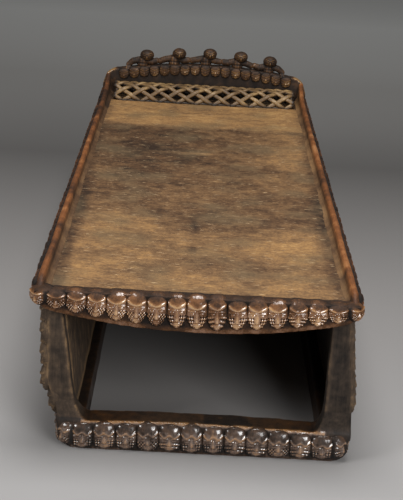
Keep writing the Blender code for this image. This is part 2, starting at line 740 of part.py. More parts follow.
def build_posts(material):
    for name, side, thickness, y_limits, foot_z in post_places():
        low_z, high_z = foot_z + FIT_GAP, UNDERSIDE - FIT_GAP
        bm = bmesh.new()
        low = (wall_limits(side, foot_z, 0, thickness), y_limits)
        high = (wall_limits(side, UNDERSIDE, 0, thickness), y_limits)
        add_leaning_block(bm, low, low_z, high, high_z)
        post = member(name, bm, material)
        tenons = [
            post_tenon(side, thickness, y_limits, foot_z, -POST_TENON_LENGTH),
            post_tenon(side, thickness, y_limits, UNDERSIDE, POST_TENON_LENGTH),
        ]
        combine(post, boxes(f"{name}_tenons", tenons), "UNION")
        y = sum(y_limits) / 2
        row = []
        for z in spread(foot_z, UNDERSIDE, POST_HEAD_PITCH):
            place = facing(wall_x(side, z), y, z, side * 90, wall_lean(side))
            row.append((place, POST_HEAD_WIDTH, POST_HEAD_HEIGHT, POST_HEAD_RELIEF))
        carve_heads(post, row)


def build_panels(material):
    for name, side, y_limits in panel_places():
        bm = bmesh.new()
        low = (wall_limits(side, BASE_RAIL_HEIGHT, PANEL_INSET, PANEL_THICKNESS), y_limits)
        high = (wall_limits(side, UNDERSIDE, PANEL_INSET, PANEL_THICKNESS), y_limits)
        add_leaning_block(bm, low, BASE_RAIL_HEIGHT + FIT_GAP, high, UNDERSIDE - FIT_GAP)
        panel = member(name, bm, material)
        tongues = [
            panel_tongue(side, y_limits, BASE_RAIL_HEIGHT, -PANEL_TONGUE_HEIGHT),
            panel_tongue(side, y_limits, UNDERSIDE, PANEL_TONGUE_HEIGHT),
        ]
        combine(panel, boxes(f"{name}_tongues", tongues), "UNION")


def build_end_rail(end_name, end, y_limits, post_limits, material):
    """An end rail of the base: a U in front view, whose upturned ends carry the corner posts."""
    outer, inner = POST_FOOT_FACE, POST_FOOT_FACE - POST_WIDTH
    radius = OPENING_CORNER_RADIUS
    angles = [math.pi / 2 * i / ARC_STEPS for i in range(ARC_STEPS + 1)]
    corner = [(inner - radius * (1 - math.cos(a)), RISER_TOP - radius * math.sin(a)) for a in angles]
    end_face = [(BASE_FACE, 0), (BASE_FACE, BASE_RAIL_HEIGHT)]
    right = [*end_face, (outer, BASE_RAIL_HEIGHT), (outer, RISER_TOP), *corner]
    left = [(-x, z) for x, z in reversed(right)]
    bm = bmesh.new()
    add_prism(bm, [(x + BASE_SHIFT, z) for x, z in right + left], *y_limits)
    face = y_limits[0] if end < 0 else y_limits[1]
    corner_x = {BASE_SHIFT - BASE_FACE, BASE_SHIFT + BASE_FACE}
    round_edges(bm, lambda co: same(co.y, face) and any(same(co.x, x) for x in corner_x), BASE_CORNER_ROUND)
    rail = member(f"{end_name}_base_rail", bm, material)
    ledge = sorted((face + end * BASE_LEDGE, face - end * BASE_LEDGE))
    side_reach = BASE_FACE + BASE_LEDGE
    step = (
        (BASE_SHIFT - side_reach, ledge[0], BASE_RAIL_HEIGHT),
        (BASE_SHIFT + side_reach, ledge[1], RISER_TOP + EMBED),
    )
    combine(rail, boxes(f"{end_name}_base_ledge", [step]), "DIFFERENCE")
    turn = 0 if end < 0 else 180
    level = BASE_RAIL_HEIGHT / 2
    row = [
        (facing(x + BASE_SHIFT, face, level, turn), BASE_HEAD_WIDTH, BASE_HEAD_HEIGHT, BASE_HEAD_RELIEF)
        for x in spread(CORNER_HEAD_ROOM - BASE_FACE, BASE_FACE - CORNER_HEAD_ROOM, BASE_HEAD_PITCH)
    ]
    corners = corner_heads(
        BASE_FACE, face, BASE_CORNER_ROUND, level, BASE_HEAD_HEIGHT, BASE_HEAD_RELIEF, end, BASE_SHIFT
    )
    carve_heads(rail, row)
    carve_heads(rail, corners, "corner_heads")
    mortises = []
    for side in SIDES.values():
        mortises.append(post_tenon(side, POST_WIDTH, post_limits, RISER_TOP, -POST_TENON_LENGTH))
        mortises += rail_tenons(side)
    combine(rail, boxes(f"{end_name}_base_mortises", grown(mortises)), "DIFFERENCE")


def build_side_rail(side_name, side, material):
    inner, outer = sorted(side * x + BASE_SHIFT for x in (BASE_FACE - SIDE_RAIL_WIDTH, BASE_FACE))
    bm = bmesh.new()
    add_box(bm, (inner, FOOT_RAIL[1] + FIT_GAP, 0), (outer, HEAD_RAIL[0] - FIT_GAP, BASE_RAIL_HEIGHT))
    rail = member(f"{side_name}_base_rail", bm, material)
    combine(rail, boxes(f"{side_name}_rail_tenons", rail_tenons(side)), "UNION")
    mortises = [
        post_tenon(side, thickness, y_limits, BASE_RAIL_HEIGHT, -POST_TENON_LENGTH)
        for _, post_side, thickness, y_limits, foot_z in post_places()
        if post_side == side and same(foot_z, BASE_RAIL_HEIGHT)
    ]
    mortises += [
        panel_tongue(side, y_limits, BASE_RAIL_HEIGHT, -PANEL_TONGUE_HEIGHT)
        for _, panel_side, y_limits in panel_places()
        if panel_side == side
    ]
    combine(rail, boxes(f"{side_name}_rail_mortises", grown(mortises)), "DIFFERENCE")
    row = []
    for y in spread(FOOT_RAIL[1], HEAD_RAIL[0], BASE_HEAD_PITCH):
        place = facing(side * BASE_FACE + BASE_SHIFT, y, BASE_RAIL_HEIGHT / 2, side * 90)
        row.append((place, BASE_HEAD_WIDTH, BASE_HEAD_HEIGHT, BASE_HEAD_RELIEF))
    carve_heads(rail, row)


def build_bed():
    clear_scene()
    bpy.context.scene.collection.objects.link(bpy.data.objects.new("bed", None))
    deck_wood = wood("deck_wood", (0.26, 0.17, 0.085), 0.55)
    rim_wood = wood("rim_wood", (0.10, 0.042, 0.018), 0.38)
    wall_wood = wood("wall_wood", (0.045, 0.030, 0.022), 0.65)
    base_wood = wood("base_wood", (0.075, 0.035, 0.018), 0.40)
    headrest_wood = wood("headrest_wood", (0.36, 0.25, 0.13), 0.50)
    figure_wood = wood("figure_wood", (0.06, 0.030, 0.016), 0.42)
    build_deck(deck_wood)
    for side_name, side in SIDES.items():
        build_side_rim(side_name, side, rim_wood)
    build_foot_rim(rim_wood)
    build_headboard(rim_wood)
    build_headrest(headrest_wood)
    build_figures(figure_wood)
    build_posts(wall_wood)
    build_panels(wall_wood)
    build_end_rail("foot", -1, FOOT_RAIL, FOOT_POST, base_wood)
    build_end_rail("head", 1, HEAD_RAIL, HEAD_POST, base_wood)
    for side_name, side in SIDES.items():
        build_side_rail(side_name, side, base_wood)


build_bed()
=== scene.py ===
# %% [markdown]
# # A carved ceremonial bed
# The bed is a low platform of dark hardwood: a flat deck inside raised rims, standing on leaning walls and
# a base ring. Rows of small carved heads run round the rims and the base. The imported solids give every
# member its place and size, so this script only gives them their carved and worn surfaces.

# %% Load the frame
import json
import math

import bpy
import numpy as np
from mathutils import Matrix, Vector, noise

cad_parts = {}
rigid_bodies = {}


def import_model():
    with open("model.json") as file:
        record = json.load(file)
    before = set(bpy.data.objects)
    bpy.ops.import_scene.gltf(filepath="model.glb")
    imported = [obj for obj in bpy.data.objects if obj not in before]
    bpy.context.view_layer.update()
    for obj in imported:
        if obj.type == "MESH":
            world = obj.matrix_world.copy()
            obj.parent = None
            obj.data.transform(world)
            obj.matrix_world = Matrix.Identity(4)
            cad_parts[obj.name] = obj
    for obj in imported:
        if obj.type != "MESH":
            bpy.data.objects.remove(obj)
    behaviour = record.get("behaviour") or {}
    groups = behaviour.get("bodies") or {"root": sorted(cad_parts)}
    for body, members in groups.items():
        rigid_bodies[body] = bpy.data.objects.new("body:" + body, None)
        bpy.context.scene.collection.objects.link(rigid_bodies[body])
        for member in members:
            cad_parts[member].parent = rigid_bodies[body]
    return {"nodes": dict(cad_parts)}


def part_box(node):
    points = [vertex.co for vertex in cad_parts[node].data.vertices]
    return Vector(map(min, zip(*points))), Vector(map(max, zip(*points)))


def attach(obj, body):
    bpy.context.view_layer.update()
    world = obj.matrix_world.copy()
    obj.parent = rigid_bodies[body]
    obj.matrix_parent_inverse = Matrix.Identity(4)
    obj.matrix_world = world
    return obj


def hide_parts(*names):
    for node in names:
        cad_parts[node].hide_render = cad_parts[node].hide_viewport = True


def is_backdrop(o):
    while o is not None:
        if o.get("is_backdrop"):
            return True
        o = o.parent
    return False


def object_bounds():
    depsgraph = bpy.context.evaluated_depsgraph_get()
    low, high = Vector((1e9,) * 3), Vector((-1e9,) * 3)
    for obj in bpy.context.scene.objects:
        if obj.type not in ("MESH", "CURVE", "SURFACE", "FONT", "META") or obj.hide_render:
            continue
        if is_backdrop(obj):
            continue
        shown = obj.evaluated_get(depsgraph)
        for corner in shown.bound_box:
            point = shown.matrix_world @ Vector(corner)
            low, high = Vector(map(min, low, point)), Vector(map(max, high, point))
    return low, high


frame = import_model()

cad_low, cad_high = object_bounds()
print("solids:", len(frame["nodes"]), "size:", [round(v, 3) for v in cad_high - cad_low])

# %% [markdown]
# ## Sizes
# These are the levels and faces that the solids share, in metres. X runs across the bed, Y from the foot to
# the head, and Z up. Whatever a box of the solids can tell is read from it, so that both stay together.
# Members reach into their neighbours by a small overlap, which leaves no gap.

# %% Levels and faces
SIDES = {"left": -1, "right": 1}
DECK_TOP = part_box("deck_slab")[1].z
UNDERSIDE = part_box("right_rim")[0].z
RIM_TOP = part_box("right_rim")[1].z
FOOT_RIM_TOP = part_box("foot_rim")[1].z
RELIEF = 0.013
SIDE_FACE = cad_high.x - RELIEF
DECK_HALF = SIDE_FACE - 0.024
FOOT_FACE = cad_low.y + RELIEF
DECK_FOOT = FOOT_FACE + 0.030
BACK_FACE = cad_high.y - RELIEF
DECK_HEAD = BACK_FACE - 0.036
APRON_END, APRON_DROP = UNDERSIDE + 0.008, 0.040
BASE_SHIFT, BASE_FACE, BASE_HEIGHT = 0.026, 0.304, 0.062
POST_FOOT, POST_TOP, POST_TOP_SHIFT = BASE_FACE - 0.002, SIDE_FACE - 0.020, 0.005
RISER_TOP = BASE_HEIGHT + 0.036
FOOT_POST = (DECK_FOOT + 0.004, DECK_FOOT + 0.038)
HEAD_POST = (DECK_HEAD - 0.038, DECK_HEAD - 0.004)
FOOT_RAIL = (FOOT_POST[0] - 0.022, FOOT_POST[1])
HEAD_RAIL = (HEAD_POST[0], HEAD_POST[1] + 0.022)
CREST_HALF = SIDE_FACE - 0.044
CREST_TOP, CREST_END = DECK_TOP + 0.102, DECK_TOP + 0.078
REST_RADIUS, REST_HALF = 0.056, DECK_HALF - 0.012
REST_Y, REST_SEAT = DECK_HEAD - 0.014 - REST_RADIUS, DECK_TOP - 0.003
OVERLAP = 0.001
print("deck top", round(DECK_TOP, 3), "rim top", round(RIM_TOP, 3), "underside", round(UNDERSIDE, 3))

# %% [markdown]
# ## Camera
# The photograph looks from the foot end along the bed, from a little above, with a long lens. The camera's
# place and angles come from fitting the corners of the rims, the base and the headboard, and the outlines of
# the sides. The lens is in millimetres for a 36 mm frame on the longer side of the picture.

# %% Camera
CAMERA_SPOT = Vector((-0.0248, -3.5324, 1.3276))
CAMERA_DOWN, CAMERA_TURN, CAMERA_ROLL = (math.radians(a) for a in (18.798, -0.592, 3.289))
CAMERA_LENS = 99.0


def linked(name, data):
    """A new object in the scene."""
    obj = bpy.data.objects.new(name, data)
    bpy.context.scene.collection.objects.link(obj)
    return obj


camera = linked("camera", bpy.data.cameras.new("camera"))
camera.data.lens = CAMERA_LENS
camera.matrix_world = (
    Matrix.Translation(CAMERA_SPOT)
    @ Matrix.Rotation(CAMERA_TURN, 4, "Z")
    @ Matrix.Rotation(math.pi / 2 - CAMERA_DOWN, 4, "X")
    @ Matrix.Rotation(CAMERA_ROLL, 4, "Z")
)
bpy.context.scene.camera = camera
print("camera", [round(v, 3) for v in CAMERA_SPOT], "lens", camera.data.lens)

# %% [markdown]
# ## Colours and nodes
# Colours are written as the hex values that a painter would pick on a screen, and one function turns them
# into the linear values that shaders use. A second small function adds a node to any tree: it sets the
# node's properties, fills its inputs with numbers or with links, and fills the stops of a colour ramp.

# %% Colour and node helpers
def linear(colour):
    """An sRGB hex colour as linear RGBA."""
    channels = [int(colour[i:i + 2], 16) / 255 for i in (1, 3, 5)]
    return (*(c / 12.92 if c <= 0.04045 else ((c + 0.055) / 1.055) ** 2.4 for c in channels), 1.0)


def add_node(tree, kind, links=None, stops=None, **settings):
    """Adds a node. Each link is an input's name or number with a value, or with (node, output)."""
    made = tree.nodes.new(kind)
    for name, value in settings.items():
        setattr(made, name, value)
    for socket, value in (links or {}).items():
        if isinstance(value, tuple) and isinstance(value[0], bpy.types.Node):
            tree.links.new(value[0].outputs[value[1]], made.inputs[socket])
        else:
            made.inputs[socket].default_value = value
    if stops:
        elements = made.color_ramp.elements
        for element, (place, colour) in zip(elements, (stops[0], stops[-1])):
            element.position, element.color = place, linear(colour)
        for place, colour in stops[1:-1]:
            elements.new(place).color = linear(colour)
    return made


def new_material(name):
    material = bpy.data.materials.new(name)
    material.use_nodes = True
    material.node_tree.nodes.clear()
    return material, material.node_tree


# %% [markdown]
# The next functions add the nodes that come up most. Each gives back a node together with the output to
# link, so that one call can stand inside another.

# %% Nodes that come up most
def calc(tree, operation, *values, **settings):
    """A sum, a product or the like of values and links."""
    return add_node(tree, "ShaderNodeMath", dict(enumerate(values)), operation=operation, **settings), 0


def remap(tree, value, start, end, low=0.0, high=1.0):
    """Turns the range from start to end into the range from low to high."""
    links = {"Value": value, "From Min": start, "From Max": end, "To Min": low, "To Max": high}
    return add_node(tree, "ShaderNodeMapRange", links), 0


def object_place(tree):
    return add_node(tree, "ShaderNodeTexCoord"), "Object"


def coordinate(tree, axis):
    return add_node(tree, "ShaderNodeSeparateXYZ", {0: object_place(tree)}), axis


def toned(tree, level, shades, places=None):
    """The colour of a level from 0 to 1. The shades are spaced evenly where no places are given."""
    places = places or [i / (len(shades) - 1) for i in range(len(shades))]
    return add_node(tree, "ShaderNodeValToRGB", {0: level}, stops=list(zip(places, shades))), 0


def finish_surface(tree, inputs):
    surface = add_node(tree, "ShaderNodeBsdfPrincipled", inputs)
    add_node(tree, "ShaderNodeOutputMaterial", {0: (surface, 0)})


print("node helpers ready")

# %% [markdown]
# ## Studio
# The bed stands on a seamless pale floor. Its colour is painted darker behind the bed, as painted shade, and
# pale again far off, as painted light. A large soft lamp hangs over the foot end, a tall one at the right
# front gives the carved heads their gloss, and a weaker one lights the left side. A dim world fills the
# shadows.

# %% Floor, lamps and world
FLOOR_HALF, PAPER_START, PAPER_END = 60, -1.2, 4.6


def softbox(name, spot, target, size, watts):
    lamp = bpy.data.lights.new(name, "AREA")
    lamp.shape, lamp.size, lamp.size_y, lamp.energy = "RECTANGLE", *size, watts
    obj = linked(name, lamp)
    obj.location = spot
    obj.rotation_euler = (Vector(target) - Vector(spot)).to_track_quat("-Z", "Y").to_euler()


softbox("top_lamp", (0.1, -0.5, 3.2), (0.0, -0.1, 0.3), (1.5, 1.7), 90)
softbox("left_lamp", (-2.6, -2.2, 2.0), (0.0, -0.7, 0.2), (1.2, 1.0), 44)
softbox("right_lamp", (1.7, -3.8, 1.6), (0.0, -0.7, 0.2), (1.8, 2.0), 98)

world = bpy.data.worlds.new("studio")
bpy.context.scene.world = world
world.use_nodes = True
world.node_tree.nodes["Background"].inputs["Color"].default_value = linear("#9a9a9a")
world.node_tree.nodes["Background"].inputs["Strength"].default_value = 0.30

paper, tree = new_material("matte_studio_paper")
depth = remap(tree, coordinate(tree, "Y"), PAPER_START, PAPER_END)
# Painted light and shade: along Y the floor's colour darkens behind the bed and turns pale again far off,
# standing in for the lamps' falloff.
PAPER_PAINTED_FALLOFF = ["#9d9b9a", "#8f8c8a", "#6a6866", "#a2a09d", "#e4e4e1"]
tone = toned(tree, depth, PAPER_PAINTED_FALLOFF, [0.0, 0.2, 0.45, 0.7, 1.0])
finish_surface(tree, {"Base Color": tone, "Roughness": 0.9, "Specular IOR Level": 0.1})

floor_mesh = bpy.data.meshes.new("floor")
corners = [(FLOOR_HALF * x, FLOOR_HALF * y, 0) for x, y in ((-1, -1), (1, -1), (1, 1), (-1, 1))]
floor_mesh.from_pydata(corners, [], [(0, 1, 2, 3)])
floor_mesh.materials.append(paper)
floor = linked("floor", floor_mesh)
floor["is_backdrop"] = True
bpy.context.scene.view_settings.view_transform = "Standard"

# %% [markdown]
# ## Carved wood
# All members are one kind of dense tropical hardwood, cut with an adze and knife and then darkened by oil,
# smoke and hands. What handling touches most turns lighter, redder and glossier, and the cuts stay dark and
# dull. Each mesh therefore carries a number for that wear, high on raised spots and low in the cuts, and the
# finish mixes it with mottling of some centimetres and grain of a few millimetres along the log. In some
# members the same number also holds painted light and painted shade.

# %% The carved finish
MOTTLE_SHARE, PORE_SIZE, PIT_DEPTH = 1.3, 0.0025, 0.0012


def attribute(tree, name):
    return add_node(tree, "ShaderNodeAttribute", attribute_name=name), "Fac"


def noise_at(tree, vector, size, detail, roughness=0.5):
    """Noise with lumps of about this size."""
    links = {"Vector": vector, "Scale": 1 / size, "Detail": detail, "Roughness": roughness}
    return add_node(tree, "ShaderNodeTexNoise", links), 0


def stretched(tree, sizes, turn=0.0):
    """Places counted in these sizes along X, Y and Z, turned about Z."""
    links = {"Vector": object_place(tree), "Scale": [1 / s for s in sizes], "Rotation": (0, 0, turn)}
    return add_node(tree, "ShaderNodeMapping", links), 0


def blended(tree, share, first, second):
    return add_node(tree, "ShaderNodeMix", {0: share, 6: first, 7: second}, data_type="RGBA"), 2


def carved_wood(
    name, tones, roughness, polish, grain=0.003, mottle=0.045, streak=0.35, pits=0.35, along="Y",
    upper=None, bare=None, gloss=0.5,
):
    """Oiled and handled wood. Tones run from the deepest cut to the most worn spot. Polish is the wear where
    a waxy coat begins, and where it is full. Upper is a height where the polish ends, with the tones above
    it, and bare is the tones where the mesh says bare."""
    material, tree = new_material(name)
    lines = stretched(tree, [16 * grain if axis == along else grain for axis in "XYZ"])
    fibres = noise_at(tree, lines, 1.0, 4.0, 0.6)
    clouds = noise_at(tree, object_place(tree), mottle, 6.0, 0.66)
    pores = noise_at(tree, object_place(tree), PORE_SIZE, 2.0, 0.7)
    worn = calc(tree, "MULTIPLY_ADD", clouds, MOTTLE_SHARE, attribute(tree, "wear"))
    least = (MOTTLE_SHARE + streak) / 2
    level = remap(tree, calc(tree, "MULTIPLY_ADD", fibres, streak, worn), least, least + 1)
    colour = toned(tree, level, tones)
    coat = remap(tree, level, *polish)
    sheen = remap(tree, level, 0.0, 1.0, *roughness)
    if upper:
        height, upper_tones = upper
        above = remap(tree, coordinate(tree, "Z"), height - 0.006, height + 0.006)
        colour = blended(tree, above, colour, toned(tree, level, upper_tones))
        coat = calc(tree, "SUBTRACT", coat, above, use_clamp=True)
        sheen = calc(tree, "MULTIPLY_ADD", above, 0.3, sheen)
    if bare:
        colour = blended(tree, attribute(tree, "bare"), colour, toned(tree, level, bare))
    relief = calc(tree, "MULTIPLY_ADD", pores, 0.6, fibres)
    bump = add_node(tree, "ShaderNodeBump", {"Height": relief, "Strength": pits, "Distance": PIT_DEPTH})
    finish_surface(tree, {
        "Base Color": colour, "Roughness": sheen, "Normal": (bump, 0), "IOR": 1.5,
        "Specular IOR Level": gloss, "Coat Weight": coat, "Coat Roughness": 0.16, "Coat IOR": 2.4,
    })
    return material


print("carved finish ready")

# %% [markdown]
# Six finishes come from that one recipe. The apron at the foot end is polished most. The cove of the rims has
# worn bare like the deck. Walls and base share their grain and gloss, so that a post and the end of the base
# below it look like one piece of wood.

# %% The finishes
WALL_TONES = ["#17110c", "#30261d", "#4a3b2d", "#7c6244"]
UPRIGHT = {"grain": 0.004, "mottle": 0.032, "streak": 0.6, "along": "Z", "gloss": 0.4}
RIM_WOOD = carved_wood(
    "oiled_hardwood_rims", ["#150d07", "#3b2312", "#784824", "#b57c4a"], (0.75, 0.50), (0.72, 1.2),
    mottle=0.080, bare=["#2f2014", "#543c27", "#795b3c", "#a17a4d"], gloss=0.3,
)
APRON_WOOD = carved_wood(
    "polished_hardwood_apron", ["#150d07", "#3b2514", "#7a4e27", "#c0935f"], (0.75, 0.50), (0.43, 0.77),
    gloss=0.25,
)
BASE_WOOD = carved_wood(
    "oiled_hardwood_base", ["#0d0906", "#281a0f", "#50341c", "#9c7145"], (0.65, 0.45), (0.34, 0.70),
    pits=0.45, upper=(BASE_HEIGHT + 0.008, WALL_TONES), **UPRIGHT,
)
WALL_WOOD = carved_wood("smoked_hardwood_walls", WALL_TONES, (0.92, 0.74), (0.9, 1.5), pits=0.7, **UPRIGHT)
FIGURE_WOOD = carved_wood(
    "oiled_hardwood_figures", ["#120c08", "#2b1d12", "#533820", "#97713f"], (0.70, 0.50), (0.7, 1.3),
    grain=0.0025, mottle=0.030, gloss=0.3,
)
HEADREST_WOOD = carved_wood(
    "pale_worn_hardwood_lattice", ["#150e08", "#3e2d1b", "#6a5131", "#a5875a"], (0.6, 0.45), (0.8, 1.8),
    grain=0.0025, mottle=0.040, streak=0.2, pits=0.3, along="X",
)
print("finishes:", [m.name for m in bpy.data.materials if "hardwood" in m.name])

# %% [markdown]
# ## The deck's finish
# The deck is the same wood, but bare: sleepers and mats have worn both ends to tan, and the middle has gone
# grey brown. The wear number of its mesh draws these large patches. Four layers of noise break them up: bands
# and streaks that lie across the bed, where the adze was swung along it, then fine specks and small clouds.
# A few pale scratches come last.

# %% The deck's wood
DECK_WOOD, tree = new_material("bare_worn_hardwood_deck")
place = object_place(tree)
bands = noise_at(tree, stretched(tree, (0.12, 0.05, 1.0)), 1.0, 8.0, 0.72)
streaks = noise_at(tree, stretched(tree, (0.024, 0.011, 0.05)), 1.0, 4.0, 0.6)
specks = noise_at(tree, place, 0.006, 3.0, 0.7)
clouds = noise_at(tree, place, 0.03, 5.0, 0.7)
relief = attribute(tree, "wear")
for layer, share in ((bands, 0.55), (streaks, 0.55), (specks, 0.55), (clouds, 0.75)):
    relief = calc(tree, "MULTIPLY_ADD", layer, share, relief)
level = remap(tree, relief, 1.20, 2.20)
colour = toned(tree, level, ["#2f2014", "#543c27", "#795b3c", "#9c764a", "#bb9562"])
grey_share = remap(tree, noise_at(tree, place, 0.12, 4.0), 0.48, 0.66, 0.0, 0.5)
colour = blended(tree, grey_share, colour, linear("#65563f"))
slanted = stretched(tree, (0.022, 0.003, 1.0), math.radians(14))
scratches = remap(tree, noise_at(tree, slanted, 1.0, 1.0), 0.69, 0.75, 0.0, 0.7)
colour = blended(tree, scratches, colour, linear("#d3b48a"))
sheen = remap(tree, level, 0.0, 1.0, 0.62, 0.46)
bump = add_node(tree, "ShaderNodeBump", {"Height": relief, "Strength": 0.5, "Distance": 0.0015})
finish_surface(tree, {
    "Base Color": colour, "Roughness": sheen, "Normal": (bump, 0), "IOR": 1.5, "Specular IOR Level": 0.3,
})
print("deck finish nodes:", len(tree.nodes))

# %% [markdown]
# ## Mesh helpers
# Most members are lofts: a row of rings with the same number of points, joined by a skin and closed at both
# ends. Hand tools and handling leave no surface straight, so a few layers of soft noise move each point along
# its normal. The wear of a point is how far it stands out from the mean of its neighbours.

# %% Lofts and noise
def ramp(value, start, end):
    """0 at start, 1 at end, and a soft S between them."""
    t = np.clip((value - start) / (end - start), 0, 1)
    return t * t * (3 - 2 * t)


def ridge(value, width):
    return np.exp(-(value / width) ** 2)


def lumps(points, size, seed=0.0):
    """Soft noise from -1 to 1 at each point, with lumps of about this size, or of one size for each axis."""
    shift = Vector((17.3 * seed, 5.1 * seed, 9.7 * seed))
    return np.array([noise.noise(Vector(p) + shift) for p in points / np.array(size)])


def points_of(mesh, what="co"):
    values = np.empty(len(mesh.vertices) * 3)
    mesh.vertices.foreach_get(what, values)
    return values.reshape(-1, 3)


def closed_mesh(name, points, faces):
    """A mesh of these points and faces, with its faces turned outwards."""
    mesh = bpy.data.meshes.new(name)
    mesh.from_pydata(points.tolist(), [], faces)
    mesh.calc_loop_triangles()
    corners = np.array([t.vertices[:] for t in mesh.loop_triangles])
    a, b, c = (points[corners[:, i]] for i in range(3))
    if (a * np.cross(b, c)).sum() < 0:
        mesh.flip_normals()
    return mesh


def loft(name, rings):
    """A closed skin over rings given as an array of ring, point and coordinate."""
    rings = np.asarray(rings, float)
    count, size, _ = rings.shape
    faces = []
    for i in range(count - 1):
        for j in range(size):
            k = (j + 1) % size
            faces.append((i * size + j, i * size + k, (i + 1) * size + k, (i + 1) * size + j))
    faces += [tuple(range(size))[::-1], tuple(range((count - 1) * size, count * size))]
    return closed_mesh(name, rings.reshape(-1, 3), faces)


def weather(mesh, layers, seed=0.0):
    """Moves points along their normals; each layer is a lump size and a depth."""
    points, normals = points_of(mesh), points_of(mesh, "normal")
    for i, (size, depth) in enumerate(layers):
        points = points + normals * (depth * lumps(points, size, seed + i))[:, None]
    mesh.vertices.foreach_set("co", points.ravel())
    mesh.update()


print("loft and noise ready")

# %% Wear
def store(mesh, name, values):
    """Keeps one number for each point, under a name that the finish reads."""
    layer = mesh.attributes.get(name) or mesh.attributes.new(name, "FLOAT", "POINT")
    layer.data.foreach_set("value", np.asarray(values, np.float32).ravel())


def mark_wear(mesh, reach, level, even=False):
    """Stores wear from 0 to 1: the level, which some members use for painted light and shade, raised where a
    point stands out, by about reach, from its neighbours. Where even is set it stays at the level."""
    points, normals = points_of(mesh), points_of(mesh, "normal")
    ends = np.empty(len(mesh.edges) * 2, np.int32)
    mesh.edges.foreach_get("vertices", ends)
    a, b = ends.reshape(-1, 2).T
    size = len(points)
    near = np.maximum(np.bincount(a, minlength=size) + np.bincount(b, minlength=size), 1)

    def around(values):
        return (np.bincount(a, values[b], size) + np.bincount(b, values[a], size)) / near

    mean = np.stack([around(points[:, axis]) for axis in range(3)], 1)
    out = ((points - mean) * normals).sum(1)
    for _ in range(2):
        out = (out + around(out)) / 2
    store(mesh, "wear", np.clip(level + np.where(even, 0, out / reach), 0, 1))


print("wear ready")

# %% [markdown]
# ## Carved heads
# The friezes are rows of small heads in relief: an oval dome with a smooth cap whose raised edge dips between
# the brows, lidded eyes, a nose, a mouth and hatched cheeks. They are an ornament, so each face is the same
# calm design with small changes from the carver's hand. A grid of points is bent onto an oval, and a formula
# gives the height of each feature above the dome. Three patterns of hatching make three kinds.

# %% The features of a head
HATCH_PITCH = 0.28


def face_relief(x, z, peak, slope, wave, bulge, hatch):
    """Height and wear of the features over the dome; x and z run from -1 to 1 across and up the face."""
    side = np.abs(x)
    hairline = peak + slope * side ** 1.4 + wave * np.cos(2.2 * math.pi * x)
    cap = ramp(z, hairline - 0.02, hairline + 0.06)
    edge = ridge(z - hairline, 0.05) * ramp(side, 1.0, 0.85)
    middle, half = (1 + hairline) / 2, (1 - hairline) / 2
    swell = np.sqrt(np.clip(1 - (x / 0.95) ** 2 - ((z - middle) / half) ** 2, 0, 1))
    brow_level = peak - 0.17 + 0.04 * np.cos(3.2 * (side - 0.42))
    brow = ridge(z - brow_level, 0.05) * ramp(side, 0.06, 0.18) * ramp(side, 0.90, 0.72)
    eye_level = peak - 0.33
    eye = np.sqrt(np.clip(1 - ((side - 0.42) / 0.24) ** 2 - ((z - eye_level) / 0.09) ** 2, 0, 1))
    lids = ridge(z - eye_level + 0.015, 0.025) * ramp(eye, 0.15, 0.5)
    nose_top = peak - 0.14
    nose_width = 0.10 + 0.10 * ramp(z, nose_top, -0.42)
    nose = (0.4 + 0.6 * ramp(z, nose_top, -0.40)) * ridge(x, nose_width)
    nose = nose * ramp(z, -0.52, -0.43) * ramp(z, nose_top + 0.12, nose_top - 0.05)
    lips = (ridge(z + 0.61, 0.045) + ridge(z + 0.73, 0.045)) * ramp(side, 0.46, 0.28)
    chin = ridge(np.hypot(x / 2.0, z + 0.90), 0.13)
    cheek = ramp(side, 0.20, 0.32) * ramp(side, 0.97, 0.88) * ramp(z, eye_level - 0.08, eye_level - 0.16)
    cheek = cheek * ramp(z, -0.95, -0.85) * (1 - ramp(side, 0.52, 0.40) * ramp(z, -0.50, -0.56))
    turn = 2 * math.pi / HATCH_PITCH
    pattern = cheek * {
        "beads": np.cos(turn * x) * np.cos(turn * z),
        "rows": np.cos(turn * (z + 0.15 * side)) * (0.6 + 0.4 * np.cos(1.3 * turn * x)),
        "lattice": np.cos(turn * (0.6 * side + 0.6 * z)) * np.cos(turn * (0.6 * side - 0.6 * z)),
    }[hatch]
    features = (
        (cap, 0.10, 0.02), (edge, 0.24, 0.50), (swell, bulge, 0.0), (brow, 0.14, 0.20), (eye, 0.16, 0.30),
        (lids, -0.10, -0.40), (nose, 0.32, 0.40), (lips, 0.15, 0.35), (chin, 0.12, 0.35),
        (pattern, 0.12, 0.60), (1 - cap, 0.0, 0.06),
    )
    height = sum(rise * feature for feature, rise, _ in features)
    return height, sum(worn * feature for feature, _, worn in features)


print("lines of hatching across a head:", round(2 / HATCH_PITCH))

